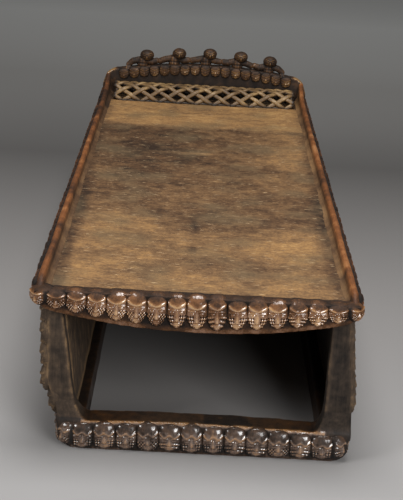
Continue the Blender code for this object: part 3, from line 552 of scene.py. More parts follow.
# %% One carved head
def carved_head(
    name, columns, rows, root, jaw=0.30, square=0.30, flat=2.6, peak=0.05, slope=0.42, wave=0.0, bulge=0.1,
    roll=0.0, start=0.2, dull=0.0, least=0.0, hatch="beads",
):
    """A head one unit wide, high and deep whose face looks along -Y; its root goes back into the wood. With a
    roll its cap bends back over the edge that it sits on."""
    a, b = np.meshgrid(np.linspace(-1, 1, columns), np.linspace(-1, 1, rows))
    x, z = a * np.sqrt(1 - square * b * b), b * np.sqrt(1 - square * a * a)
    dome = ((1 - np.abs(a) ** flat) * (1 - np.abs(b) ** flat)) ** 0.42
    height, wear = face_relief(x, z, peak, slope, wave, bulge, hatch)
    inside = ramp(dome, 0.15, 0.6)
    out = 0.60 * dome + height * inside
    narrow = 1 - jaw * ramp(z, 0.1, -1.0) ** 1.5 - 0.06 * ramp(z, 0.5, 1.0)
    bend = np.clip((z - start) / (1 - start), 0, 1) * math.pi / 2 * (roll > 0)
    rise = np.where(bend > 0, start + (1 - start) * np.sin(bend), z)
    depth = roll * (1 - np.cos(bend)) - out * np.cos(bend)
    front = np.stack([x * narrow / 2, depth, rise / 2 + 0.2 * out * np.sin(bend)], -1).reshape(-1, 3)
    grid = np.arange(columns * rows).reshape(rows, columns)
    faces = [
        (grid[j, i], grid[j, i + 1], grid[j + 1, i + 1], grid[j + 1, i])
        for j in range(rows - 1) for i in range(columns - 1)
    ]
    border = [*grid[0, :-1], *grid[:-1, -1], *grid[-1, :0:-1], *grid[:0:-1, 0]]
    back = front[border] + (0, root, 0)
    first = len(front)
    for i, point in enumerate(border):
        j = (i + 1) % len(border)
        faces.append((border[j], point, first + i, first + j))
    faces.append(tuple(range(first, first + len(border))))
    mesh = closed_mesh(name, np.concatenate([front, back]), [tuple(map(int, f)) for f in faces])
    wear = np.clip(0.45 * ramp(dome, 0.30, 0.75) + wear * inside - dull * ramp(bend, 0.1, 0.5), least, 1)
    # Painted light: the rolled-back top of a cap, which faces up, gets at least this much wear, so it is
    # lighter as if lit from above.
    wear = np.maximum(wear, 0.34 * ramp(bend, 0.5, 0.9)).ravel()
    store(mesh, "wear", np.concatenate([wear, np.full(len(border), least)]))
    return mesh


print("head maker ready")

# %% [markdown]
# There are five sets of heads. The ones at the foot end are seen closest and have fine grids; their caps roll
# over the edge above them, and those of the base are broader. The heads on the headboard, along the sides and
# on the posts are smaller or repeat far more often, and have coarse grids.

# %% Sets of heads
HATCHES = ("beads", "rows", "lattice")
APRON_SHAPE = {
    "peak": 0.40, "slope": 0.20, "jaw": 0.42, "square": 0.22, "roll": 1.8, "start": 0.42, "dull": 0.06,
}
BASE_SHAPE = {
    "peak": 0.24, "slope": 0.06, "wave": 0.06, "jaw": 0.08, "square": 0.18, "flat": 2.2, "bulge": 0.3,
    "roll": 0.8,
}
head_sets = {}
for label, columns, rows, root, shape in (
    ("apron", 41, 57, 0.9, APRON_SHAPE),
    ("base", 41, 45, 0.5, BASE_SHAPE),
    ("crest", 21, 25, 0.5, {"peak": 0.15, "square": 0.15, "least": 0.14}),
    ("side", 15, 19, 0.5, {"peak": 0.15, "least": 0.10}),
    ("post", 15, 25, 0.5, {"peak": 0.30, "jaw": 0.5, "square": 0.4, "flat": 2.0, "least": 0.60}),
):
    kinds = bpy.data.collections.new(f"{label}_heads")
    for hatch in HATCHES:
        mesh = carved_head(f"{label}_{hatch}", columns, rows, root, hatch=hatch, **shape)
        kinds.objects.link(bpy.data.objects.new(mesh.name, mesh))
    head_sets[label] = kinds
    print(label, "heads:", len(mesh.polygons), "faces each")

# %% [markdown]
# Each row of heads is placed by a tree of geometry nodes. It takes a member's body, a guide whose points
# carry a turn and a size, and a collection with the kinds of head. It picks a kind for each point, tips and
# scales it a little, and joins the realized heads to the body, so the member becomes one plain mesh.

# %% A tree for the rows of heads
def new_tree(name, inputs, output):
    """A tree with these named inputs and one output of geometry, and the node of its inputs."""
    tree = bpy.data.node_groups.new(name, "GeometryNodeTree")
    for label, kind in inputs.items():
        tree.interface.new_socket(name=label, in_out="INPUT", socket_type=f"NodeSocket{kind}")
    tree.interface.new_socket(name=output, in_out="OUTPUT", socket_type="NodeSocketGeometry")
    return tree, add_node(tree, "NodeGroupInput")


def head_row_tree():
    tree, given = new_tree("Carved head row", {
        "Body": "Geometry", "Guide": "Object", "Heads": "Collection", "Tilt": "Float", "Size change": "Float",
        "Seed": "Int", "Wood": "Material",
    }, "Member")

    def guide_value(name):
        links = {"Name": name}
        return add_node(tree, "GeometryNodeInputNamedAttribute", links, data_type="FLOAT_VECTOR"), 0

    def random_vector(least, most):
        links = {0: least, 1: most, "Seed": (given, "Seed")}
        return add_node(tree, "FunctionNodeRandomValue", links, data_type="FLOAT_VECTOR"), 0

    def vector_calc(operation, *values):
        return add_node(tree, "ShaderNodeVectorMath", dict(enumerate(values)), operation=operation), 0

    guide = add_node(tree, "GeometryNodeObjectInfo", {"Object": (given, "Guide")})
    kinds = add_node(tree, "GeometryNodeCollectionInfo", {
        "Collection": (given, "Heads"), "Separate Children": True, "Reset Children": True,
    })
    tilt = random_vector(calc(tree, "MULTIPLY", (given, "Tilt"), -1.0), (given, "Tilt"))
    aimed = add_node(tree, "FunctionNodeEulerToRotation", {0: vector_calc("ADD", guide_value("turn"), tilt)})
    least, most = (calc(tree, step, 1.0, (given, "Size change")) for step in ("SUBTRACT", "ADD"))
    scaled = vector_calc("MULTIPLY", guide_value("size"), random_vector(least, most))
    pick = add_node(tree, "FunctionNodeRandomValue", {
        4: 0, 5: len(HATCHES) - 1, "Seed": (given, "Seed"),
    }, data_type="INT")
    placed = add_node(tree, "GeometryNodeInstanceOnPoints", {
        "Points": (guide, "Geometry"), "Instance": (kinds, 0), "Pick Instance": True,
        "Instance Index": (pick, 2), "Rotation": (aimed, 0), "Scale": scaled,
    })
    real = add_node(tree, "GeometryNodeRealizeInstances", {0: (placed, 0)})
    whole = add_node(tree, "GeometryNodeJoinGeometry", {0: (given, "Body")})
    tree.links.new(real.outputs[0], whole.inputs[0])
    smooth = add_node(tree, "GeometryNodeSetShadeSmooth", {0: (whole, 0)})
    wood = add_node(tree, "GeometryNodeSetMaterial", {0: (smooth, 0), "Material": (given, "Wood")})
    add_node(tree, "NodeGroupOutput", {0: (wood, 0)})
    return tree


HEAD_ROW = head_row_tree()
print("head row tree:", len(HEAD_ROW.nodes), "nodes")

# %% [markdown]
# One function finishes every member: it gives the body its row of heads where it has one, turns the result
# into a plain mesh, hangs it on the root body, and hides the solids that the piece stands for.

# %% Finishing a member
def plain(obj):
    """Turns an object's evaluated shape into its own mesh and drops its modifiers."""
    graph = bpy.context.evaluated_depsgraph_get()
    mesh = bpy.data.meshes.new_from_object(
        obj.evaluated_get(graph), preserve_all_data_layers=True, depsgraph=graph
    )
    obj.modifiers.clear()
    obj.data = mesh
    return mesh


def guide_points(name, row):
    """Loose points; each entry of the row is place, turn in degrees, lean, and width, relief and height."""
    mesh = bpy.data.meshes.new(name)
    mesh.from_pydata([place for place, *_ in row], [], [])
    turns = np.array([(lean, 0.0, math.radians(turn)) for _, turn, lean, _ in row], np.float32)
    sizes = np.array([size for *_, size in row], np.float32)
    for label, values in (("turn", turns), ("size", sizes)):
        mesh.attributes.new(label, "FLOAT_VECTOR", "POINT").data.foreach_set("vector", values.ravel())
    return bpy.data.objects.new(name, mesh)


def grow(obj, tree, values):
    """Runs a tree of geometry nodes on an object with these inputs, and keeps the result as a plain mesh."""
    modifier = obj.modifiers.new("grow", "NODES")
    modifier.node_group = tree
    inputs = {s.name: s.identifier for s in tree.interface.items_tree if s.in_out == "INPUT"}
    for label, value in values.items():
        modifier[inputs[label]] = value
    return plain(obj)


def dress(name, mesh, nodes, wood, row=(), heads="side", tilt=0.05, change=0.04, seed=1):
    """Makes the finished piece that stands for these solids."""
    obj = linked(name, mesh)
    if row:
        guide = guide_points(f"{name}_guide", row)
        mesh = grow(obj, HEAD_ROW, {
            "Guide": guide, "Heads": head_sets[heads], "Tilt": tilt, "Size change": change, "Seed": seed,
            "Wood": wood,
        })
        bpy.data.objects.remove(guide)
    mesh.shade_smooth()
    mesh.materials.clear()
    mesh.materials.append(wood)
    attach(obj, "root")
    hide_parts(*nodes)
    print(name, "faces:", len(mesh.polygons), "heads:", len(row))


def spread(start, end, count):
    """Centres of equal cells between start and end."""
    cell = (end - start) / count
    return [start + cell * (i + 0.5) for i in range(count)]


def head_row(places, turn, size, lean=0.0):
    """A row of heads that share their turn, size and lean."""
    return [(place, turn, lean, size) for place in places]


def corner_heads(x, y, z, turn, size, shift=0.0):
    """Two heads that turn round the left and the right corner."""
    return [((side * x + shift, y, z), side * turn, 0.0, size) for side in SIDES.values()]


print("ready to dress the members")

# %% [markdown]
# ## The deck
# A slab with a flat top and a round belly underneath. The top is a little hollow and uneven from the adze and
# from use. It is lofted along the bed from one section, whose points lie close on the top and wider below.

# %% Deck
TONGUE, BELLY_HALF, BELLY_DEPTH, TOP_DIP = 0.004, 0.239, 0.030, 0.0022


def sag(x, half, drop):
    """How far a circle hangs at x that hangs by drop between -half and half."""
    radius = (half * half + drop * drop) / (2 * drop)
    return np.sqrt(radius * radius - np.square(x)) - (radius - drop)


def deck_section(y):
    edge = DECK_HALF + TONGUE
    ring = [(x, y, DECK_TOP) for x in np.linspace(-edge, edge, 90)]
    for x in np.linspace(edge, -edge, 44):
        ring.append((x, y, UNDERSIDE - (sag(x, BELLY_HALF, BELLY_DEPTH) if abs(x) < BELLY_HALF else 0.0)))
    return ring


deck = loft("deck", [deck_section(y) for y in np.linspace(DECK_FOOT - TONGUE, DECK_HEAD + TONGUE, 220)])
weather(deck, [(0.30, 0.0012), (0.09, 0.0006), (0.03, 0.0003)])
points = points_of(deck)
dip = TOP_DIP * ramp(np.abs(points[:, 0]), 0.30, 0.05)
points[:, 2] -= dip * (points[:, 2] > DECK_TOP - 0.01)
deck.vertices.foreach_set("co", points.ravel())
print("deck points:", len(points))

# %% [markdown]
# The pale ends have uneven borders, and the one at the foot reaches further up on the left. Rubbed spots and
# stains are soft ovals that add to the wear or take from it. A dark margin of painted shade runs beside the
# rims, and painted shade darkens the deck under and behind the headrest.

# %% Wear of the deck
# Each entry is a change of wear, the place across and along the bed, and half the width and length.
STAINS = (
    (0.28, 0.25, 0.26, 0.07, 0.30), (0.42, 0.00, 0.20, 0.09, 0.012), (0.06, 0.02, -0.25, 0.16, 0.10),
    (-0.20, 0.06, -0.72, 0.16, 0.08), (-0.14, 0.26, -0.72, 0.04, 0.12), (-0.14, -0.14, 0.26, 0.14, 0.16),
    (0.14, 0.20, -0.60, 0.10, 0.08), (-0.20, 0.00, -0.56, 0.12, 0.06), (-0.10, 0.00, -0.76, 0.18, 0.10),
    (-0.10, -0.16, 0.20, 0.10, 0.20), (-0.30, -0.012, -0.47, 0.010, 0.06),
    (-0.30, -0.016, -0.64, 0.009, 0.03),
)
across, along, _ = points.T
foot_end = -0.50 + 0.13 * ramp(across, -0.06, -0.16) + 0.05 * lumps(points, 0.12, 7)
head_end = 0.50 + 0.03 * lumps(points, 0.10, 8)
wear = 0.30 + 0.30 * ramp(along, foot_end + 0.05, foot_end - 0.06)
wear += 0.36 * ramp(along, head_end - 0.03, head_end + 0.03)
for change, x, y, wide, long in STAINS:
    wear += change * ridge(np.hypot((across - x) / wide, (along - y) / long), 1.0)
wear += 0.12 * lumps(points, (0.16, 0.10, 1.0), 5) + 0.10 * lumps(points, (0.05, 0.03, 1.0), 6)
# Painted shade: the deck darkens beside the rims, more on the left and towards the foot, and again at its
# very edges.
rim_shade = np.where(across < 0, 0.30, 0.16) * ramp(along, 0.10, -0.50)
wear -= rim_shade * ramp(np.abs(across) + 0.008 * lumps(points, 0.05, 9), 0.264, 0.286)
wear -= 0.12 * ramp(np.abs(across), 0.275, 0.300)
# Painted shade: the deck under and behind the headrest is darkened.
wear *= 1 - 0.9 * ramp(along, REST_Y - REST_RADIUS, REST_Y - REST_RADIUS + 0.012)
store(deck, "wear", np.clip(wear, 0, 1))
dress("deck", deck, ["deck_slab"], DECK_WOOD)

# %% [markdown]
# ## The side rims
# A rim has a narrow round crown, a wide cove down to the deck, worn as bare as the deck is, and a row of
# heads along its outside. One section is carried along the side, a little uneven in height and width, as a
# long cut with a knife would be. It dips into the foot rim and sweeps up to the headboard.

# %% Side rims
RIM_CROWN, RIM_INNER = 0.0075, DECK_HALF + 0.007
TOE = DECK_HALF - 0.005
COVE_HEIGHT, SWEEP_LENGTH, SWEEP_RISE = 0.012, 0.13, 0.032
SIDE_HEADS, SIDE_HEAD, SIDE_HEAD_LEVEL = 43, (0.042, RELIEF, 0.053), (UNDERSIDE + RIM_TOP - 0.004) / 2


def rim_section(lift, push, low):
    """Points of the right rim's section, as X and Z, from the outer foot over the crown to the cove."""
    middle = RIM_INNER + RIM_CROWN
    outer = [(SIDE_FACE, z) for z in np.linspace(low, RIM_TOP - 0.018, 7)]
    top = [
        (middle + RIM_CROWN * math.cos(a), RIM_TOP - RIM_CROWN + RIM_CROWN * math.sin(a) + lift)
        for a in np.linspace(0.12, math.pi - 0.12, 13)
    ]
    cove = [
        (TOE + (RIM_INNER - TOE) * math.cos(a), DECK_TOP + (COVE_HEIGHT + lift) * (1 - math.sin(a)))
        for a in np.linspace(0.15, math.pi / 2, 7)
    ]
    toe = [(TOE, DECK_TOP - 0.004), (DECK_HALF, DECK_TOP - 0.010), (DECK_HALF, low)]
    return [(x + push, z) for x, z in outer + top] + cove + toe


for side_name, side in SIDES.items():
    name, rings = f"{side_name}_rim", []
    for y in np.linspace(FOOT_FACE + 0.006, DECK_HEAD + 0.010, 330):
        lift = 0.0016 * noise.noise(Vector((side * 3.1, y / 0.16, 0.5)))
        lift -= 0.018 * float(ramp(y, DECK_FOOT + 0.02, FOOT_FACE))
        lift += 0.006 * float(ramp(y, DECK_HEAD - 0.30, DECK_HEAD))
        lift += SWEEP_RISE * min(max((y - DECK_HEAD + SWEEP_LENGTH) / SWEEP_LENGTH, 0.0), 1.0) ** 2
        push = 0.0012 * noise.noise(Vector((side * 7.7, y / 0.22, 2.5)))
        low = UNDERSIDE + 0.002 + 0.022 * float(ramp(y, FOOT_FACE + 0.040, FOOT_FACE + 0.008))
        rings.append([(side * x, y, z) for x, z in rim_section(lift, push, low)])
    rim = loft(name, rings)
    weather(rim, [(0.09, 0.0005), (0.018, 0.0002)], seed=2 + side)
    points = points_of(rim)
    out, along = np.abs(points[:, 0]), points[:, 1]
    level = 0.63 if side > 0 else 0.54 - 0.15 * ramp(along, 0.1, 0.6)
    level = level + 0.26 * lumps(points, (0.05, 0.40, 0.05), 3 + side)
    level += 0.08 * lumps(points, (0.02, 0.05, 0.02), 6 + side)
    level -= 0.15 * ramp(along, DECK_FOOT + 0.05, DECK_FOOT)
    # Painted shade: where the crown turns down into the cove, the rim is made a little darker.
    level -= 0.10 * ramp(out, RIM_INNER + 0.004, RIM_INNER - 0.002)
    mark_wear(rim, 0.0030, level, (along < FOOT_FACE + 0.010) | (out < RIM_INNER - 0.001))
    store(rim, "bare", ramp(out, RIM_INNER + 0.002, RIM_INNER - 0.003))
    places = [(side * SIDE_FACE, y, SIDE_HEAD_LEVEL) for y in spread(DECK_FOOT, DECK_HEAD, SIDE_HEADS)]
    row = head_row(places, side * 90, SIDE_HEAD)
    dress(f"carved_{name}", rim, [name], RIM_WOOD, row, "side", seed=5 + side)

# %% [markdown]
# ## Softened solids
# Blocky members are put together from a few closed shapes, remeshed into small even faces and smoothed. That
# rounds every edge as years of handling do, and lets the shapes grow together as if cut from one log.

# %% Softening
def prism(outline, start, end):
    """An XZ outline carried along Y."""
    return loft("prism", [[(x, y, z) for x, z in outline] for y in (start, end)])


def joined(name, meshes):
    """One mesh with the faces of all of these."""
    vertices, faces = [], []
    for mesh in meshes:
        first = len(vertices)
        vertices += points_of(mesh).tolist()
        faces += [tuple(first + v for v in face.vertices) for face in mesh.polygons]
    mesh = bpy.data.meshes.new(name)
    mesh.from_pydata(vertices, [], faces)
    return mesh


def softened(name, shapes, voxel, rounds, layers, seed=0.0):
    """One skin round all these shapes, with rounded edges and hand-cut faces."""
    obj = linked(name, joined(name, shapes))
    remesh = obj.modifiers.new("even_faces", "REMESH")
    remesh.mode, remesh.voxel_size = "VOXEL", voxel
    smooth = obj.modifiers.new("handling", "SMOOTH")
    smooth.factor, smooth.iterations = 0.5, rounds
    mesh = plain(obj)
    bpy.data.objects.remove(obj)
    weather(mesh, layers, seed)
    return mesh


print("softening ready")

# %% [markdown]
# ## The foot rim
# The apron at the foot end hangs lower in the middle, and its corners turn up. Its heads grow taller towards
# the middle, their caps roll over its top edge, and a plain strip is left below them, glossier and painted
# lighter as painted light.
# Two more heads turn round the corners.

# %% Foot rim
APRON_TOP = FOOT_RIM_TOP - 0.010
CORNER_REACH, CORNER_RISE = 0.028, 0.016
APRON_HEADS, APRON_HEAD_WIDTH, CORNER_HEAD_WIDTH = 15, 0.044, 0.046


def apron_low(x):
    """Height of the apron's lower edge: an arc that turns up at both corners."""
    corner = np.clip(1 + (np.abs(x) - SIDE_FACE) / CORNER_REACH, 0, 1)
    return APRON_END - sag(x, SIDE_FACE, APRON_DROP) + CORNER_RISE * corner ** 2


outline = [(-SIDE_FACE, APRON_TOP), (SIDE_FACE, APRON_TOP)]
outline += [(x, apron_low(x)) for x in np.linspace(SIDE_FACE, -SIDE_FACE, 65)]
apron_block = prism(outline, FOOT_FACE, DECK_FOOT + 0.004)
apron = softened("foot_rim", [apron_block], 0.003, 4, [(0.05, 0.0009), (0.015, 0.0006)], 4.0)
x, y, z = points_of(apron).T
# Painted light and shade: the body stays dark, as painted shade between the heads; its upward faces behind
# the caps and the strip below the heads are painted lighter as painted light, and the strip is glossier too.
painted_lit_strip = ramp(z - apron_low(x), 0.016, 0.008) * ramp(y, FOOT_FACE + 0.012, FOOT_FACE + 0.004)
ledge = ramp(points_of(apron, "normal")[:, 2], 0.4, 0.8)
mark_wear(apron, 0.0050, 0.03 + 0.36 * painted_lit_strip + 0.18 * ledge)
row = []
for x in spread(0.024 - SIDE_FACE, SIDE_FACE - 0.024, APRON_HEADS):
    low, high = APRON_END - float(sag(x, SIDE_FACE, APRON_DROP)) + 0.009, APRON_TOP - 0.001
    row.append(((x, FOOT_FACE, (low + high) / 2), 0, 0.0, (APRON_HEAD_WIDTH, RELIEF, high - low)))
low, high = APRON_END + 0.003, APRON_TOP
corner_head = (CORNER_HEAD_WIDTH, RELIEF, high - low)
row += corner_heads(SIDE_FACE - 0.007, FOOT_FACE + 0.007, (low + high) / 2, 45, corner_head)
dress("carved_foot_rim", apron, ["foot_rim"], APRON_WOOD, row, "apron", 0.045, 0.04, 11)

# %% [markdown]
# ## The headboard
# An arched board closes the head end, with round shoulders that stand a little wider than the rims' outer
# faces. Its crest carries the figures, a row of small heads runs under the crest on the inside, and larger
# heads on the back carry on the row of the side rims.

# %% Headboard
SHOULDER_HALF, SHOULDER_LOW = SIDE_FACE + 0.008, DECK_TOP + 0.024
CREST_HEADS, CREST_HEAD = 17, (0.0345, 0.010, 0.036)
BACK_HEADS, BACK_HEAD, BACK_CORNER_HEAD = 14, (0.040, RELIEF, 0.046), (0.034, RELIEF, 0.046)


def crest_level(x):
    """Height of the crest at x: an arch, and a round shoulder beyond it down to the side rim."""
    x = abs(x)
    if x < CREST_HALF:
        return CREST_END + float(sag(x, CREST_HALF, CREST_TOP - CREST_END))
    share = min((x - CREST_HALF) / (SHOULDER_HALF - CREST_HALF), 1.0)
    return SHOULDER_LOW + (CREST_END - SHOULDER_LOW) * math.sqrt(1 - share * share)


xs = np.linspace(SHOULDER_HALF, -SHOULDER_HALF, 61)
outline = [(x, crest_level(x)) for x in xs[::-1]]
outline += [(x, APRON_END - float(sag(x, SIDE_FACE, APRON_DROP))) for x in xs]
board_block = prism(outline, DECK_HEAD, BACK_FACE)
board = softened("headboard", [board_block], 0.0035, 5, [(0.06, 0.0010), (0.02, 0.0005)], 6.0)
x, _, z = points_of(board).T
up = points_of(board, "normal")[:, 2]
shoulder = ramp(np.abs(x), CREST_HALF, CREST_HALF + 0.020) * ramp(z, RIM_TOP - 0.030, RIM_TOP)
rubbed = shoulder * (0.12 + 0.55 * ramp(up, -0.1, 0.4))
mark_wear(board, 0.0022, 0.20 + rubbed + 0.10 * ramp(up, 0.3, 0.8))
row = []
for x in spread(-CREST_HALF, CREST_HALF, CREST_HEADS):
    level = crest_level(min(abs(x) + 0.014, CREST_HALF)) - 0.0165
    row.append(((x, DECK_HEAD, level), 0, 0.0, CREST_HEAD))
level = (UNDERSIDE + DECK_TOP) / 2
places = [(x, BACK_FACE, level) for x in spread(0.020 - SIDE_FACE, SIDE_FACE - 0.020, BACK_HEADS)]
row += head_row(places, 180, BACK_HEAD)
row += corner_heads(SIDE_FACE - 0.006, BACK_FACE - 0.006, level, 135, BACK_CORNER_HEAD)
dress("carved_headboard", board, ["headboard"], FIGURE_WOOD, row, "crest", 0.06, 0.06, 13)

# %% [markdown]
# ## The headrest
# A half-round bolster is cut through as if it were plaited from flat bands that pass over and under each
# other. The rule is simple: each band climbs round the half cylinder while it runs along it, and rises or
# dips where it meets a band of the other direction. Geometry nodes draw the bands from that rule.

# %% A tree for the plaited bands
def band_tree():
    """Bands of one direction on a half cylinder along X."""
    sizes = ("Radius", "Half length", "Column", "Run", "First", "Wave", "Width", "Thickness")
    tree, given = new_tree("Plaited bands", {**dict.fromkeys(sizes, "Float"), "Bands": "Int"}, "Bands")
    radius, half, column, run, first, wave, width, thickness = ((given, size) for size in sizes)
    line = add_node(tree, "GeometryNodeCurvePrimitiveLine")
    fine = add_node(tree, "GeometryNodeResampleCurve", {"Curve": (line, 0), "Count": 97})
    copies = add_node(tree, "GeometryNodeDuplicateElements", {
        "Geometry": (fine, 0), "Amount": (given, "Bands"),
    }, domain="SPLINE")
    share = (add_node(tree, "GeometryNodeSplineParameter"), "Factor")
    angle = calc(tree, "MULTIPLY", share, math.pi)
    gap = calc(tree, "MULTIPLY", column, 2.0)
    start = calc(tree, "MULTIPLY_ADD", (copies, "Duplicate Index"), gap, first)
    x = calc(tree, "MULTIPLY_ADD", share, run, start)
    columns = calc(tree, "DIVIDE", calc(tree, "ADD", x, half), column)
    over = calc(tree, "COSINE", calc(tree, "MULTIPLY", columns, math.pi))
    reach = calc(tree, "ADD", radius, calc(tree, "MULTIPLY", over, wave))
    back, up = calc(tree, "MULTIPLY", calc(tree, "COSINE", angle), -1.0), calc(tree, "SINE", angle)
    y, z = calc(tree, "MULTIPLY", reach, back), calc(tree, "MULTIPLY", reach, up)
    spot = add_node(tree, "ShaderNodeCombineXYZ", {0: x, 1: y, 2: z})
    moved = add_node(tree, "GeometryNodeSetPosition", {"Geometry": (copies, 0), "Position": (spot, 0)})
    outwards = add_node(tree, "ShaderNodeCombineXYZ", {1: back, 2: up})
    faced = add_node(tree, "GeometryNodeSetCurveNormal", {
        "Curve": (moved, 0), "Normal": (outwards, 0),
    }, mode="FREE")
    beyond = calc(tree, "GREATER_THAN", calc(tree, "ABSOLUTE", x), half)
    cut = add_node(tree, "GeometryNodeDeleteGeometry", {"Geometry": (faced, 0), "Selection": beyond})
    flat = add_node(tree, "GeometryNodeCurvePrimitiveQuadrilateral", {"Width": thickness, "Height": width})
    round_edge = calc(tree, "MULTIPLY", thickness, 0.42)
    profile = add_node(tree, "GeometryNodeFilletCurve", {
        "Curve": (flat, 0), "Count": 3, "Radius": round_edge, "Limit Radius": True,
    }, mode="POLY")
    skin = add_node(tree, "GeometryNodeCurveToMesh", {
        "Curve": (cut, 0), "Profile Curve": (profile, 0), "Fill Caps": True,
    })
    real = add_node(tree, "GeometryNodeRealizeInstances", {0: (skin, 0)})
    add_node(tree, "NodeGroupOutput", {0: (real, 0)})
    return tree


BANDS = band_tree()
print("band tree:", len(BANDS.nodes), "nodes")

# %% [markdown]
# Two sets of bands run in opposite directions with opposite waves, so that each passes over one neighbour and
# under the next. A rounded cheek closes each end, and a low curb at the front and the back carries the plait.

# %% Headrest
COLUMN, REST_FLOOR = REST_HALF / 10, REST_SEAT + 0.0005
BAND_WAVE, BAND_WIDTH, BAND_THICKNESS, BAND_COUNT = 0.0024, 0.0135, 0.0120, 14
CHEEK_STEPS = ((0.0, 0.030), (0.0015, 0.022), (0.004, 0.014), (0.008, 0.009), (0.012, 0.009))
CURB = ((0.0, 0.0), (0.009, 0.0), (0.009, 0.004), (0.006, 0.0065), (0.003, 0.0065), (0.0, 0.004))


def half_disc(x, radius):
    """Points of an upright half disc across the headrest."""
    angles = np.linspace(0, math.pi, 25)
    return [(x, REST_Y - radius * math.cos(a), REST_FLOOR + radius * math.sin(a)) for a in angles]


parts = []
for first, run, wave in ((-7, 8, -BAND_WAVE), (1, -8, BAND_WAVE)):
    bands = linked("bands", bpy.data.meshes.new("bands"))
    mesh = grow(bands, BANDS, {
        "Radius": REST_RADIUS - 0.0095, "Half length": REST_HALF - 0.002, "Column": COLUMN,
        "Run": run * COLUMN, "First": first * COLUMN - REST_HALF, "Wave": wave, "Width": BAND_WIDTH,
        "Thickness": BAND_THICKNESS, "Bands": BAND_COUNT,
    })
    bpy.data.objects.remove(bands)
    mesh.transform(Matrix.Translation((0, REST_Y, REST_SEAT)))
    parts.append(mesh)
for side in SIDES.values():
    cheek = [half_disc(side * (REST_HALF - inset), REST_RADIUS - less) for inset, less in CHEEK_STEPS]
    parts.append(loft("cheek", cheek))
    parts.append(loft("curb", [
        [(x, REST_Y + side * (REST_RADIUS - 0.006 - u), REST_FLOOR + v) for u, v in CURB]
        for x in np.linspace(0.012 - REST_HALF, REST_HALF - 0.012, 60)
    ]))
headrest = joined("headrest", parts)
weather(headrest, [(0.05, 0.0008), (0.012, 0.0004)], 3.0)
x, y, z = points_of(headrest).T
# Painted shade: the curbs where the plait meets the deck and the inside of the bolster get less wear, so they
# are darker; the cheeks at both ends are darker too.
curb_shade = ramp(z, REST_SEAT + 0.012, REST_SEAT + 0.003)
cheeks = ramp(np.abs(x), REST_HALF - 0.012, REST_HALF - 0.002)
inside = ramp(np.hypot(y - REST_Y, z - REST_SEAT), REST_RADIUS - 0.005, REST_RADIUS - 0.012)
darker_parts = np.maximum.reduce([curb_shade, cheeks, 1.4 * inside])
mark_wear(headrest, 0.0014, 0.46 - 0.30 * darker_parts, darker_parts > 0.5)
dress("lattice_headrest", headrest, ["headrest"], HEADREST_WOOD)

# %% [markdown]
# ## The figures
# Five half figures sit on the crest with linked arms: a round head with a smooth cap, tipped to the right, a
# short body, and arms that bow out to the neighbours. The two outer hands grip the ends of the crest. Each is
# a chain of balls under one skin, which is how a modeller would block them out in clay.

# %% Balls and limbs
def ball(centre, radii, rings=9, count=14):
    """A closed ball with its own radius along each axis."""
    skin = []
    for a in np.linspace(-0.96, 0.96, rings) * math.pi / 2:
        skin.append([
            (math.cos(a) * math.cos(b), math.cos(a) * math.sin(b), math.sin(a))
            for b in np.linspace(0, 2 * math.pi, count, endpoint=False)
        ])
    return loft("ball", np.array(skin) * radii + np.array(centre))


def limb(points, radii):
    """Balls close together along a bent line, as thick as the radii at its points."""
    balls = []
    for (start, end), (thick, thin) in zip(zip(points, points[1:]), zip(radii, radii[1:])):
        start, end = np.array(start), np.array(end)
        steps = max(2, math.ceil(np.linalg.norm(end - start) / (0.45 * thin)))
        for t in np.linspace(0, 1, steps):
            balls.append(ball(start + t * (end - start), [thick + t * (thin - thick)] * 3, 7, 10))
    return balls


print("clay ready")

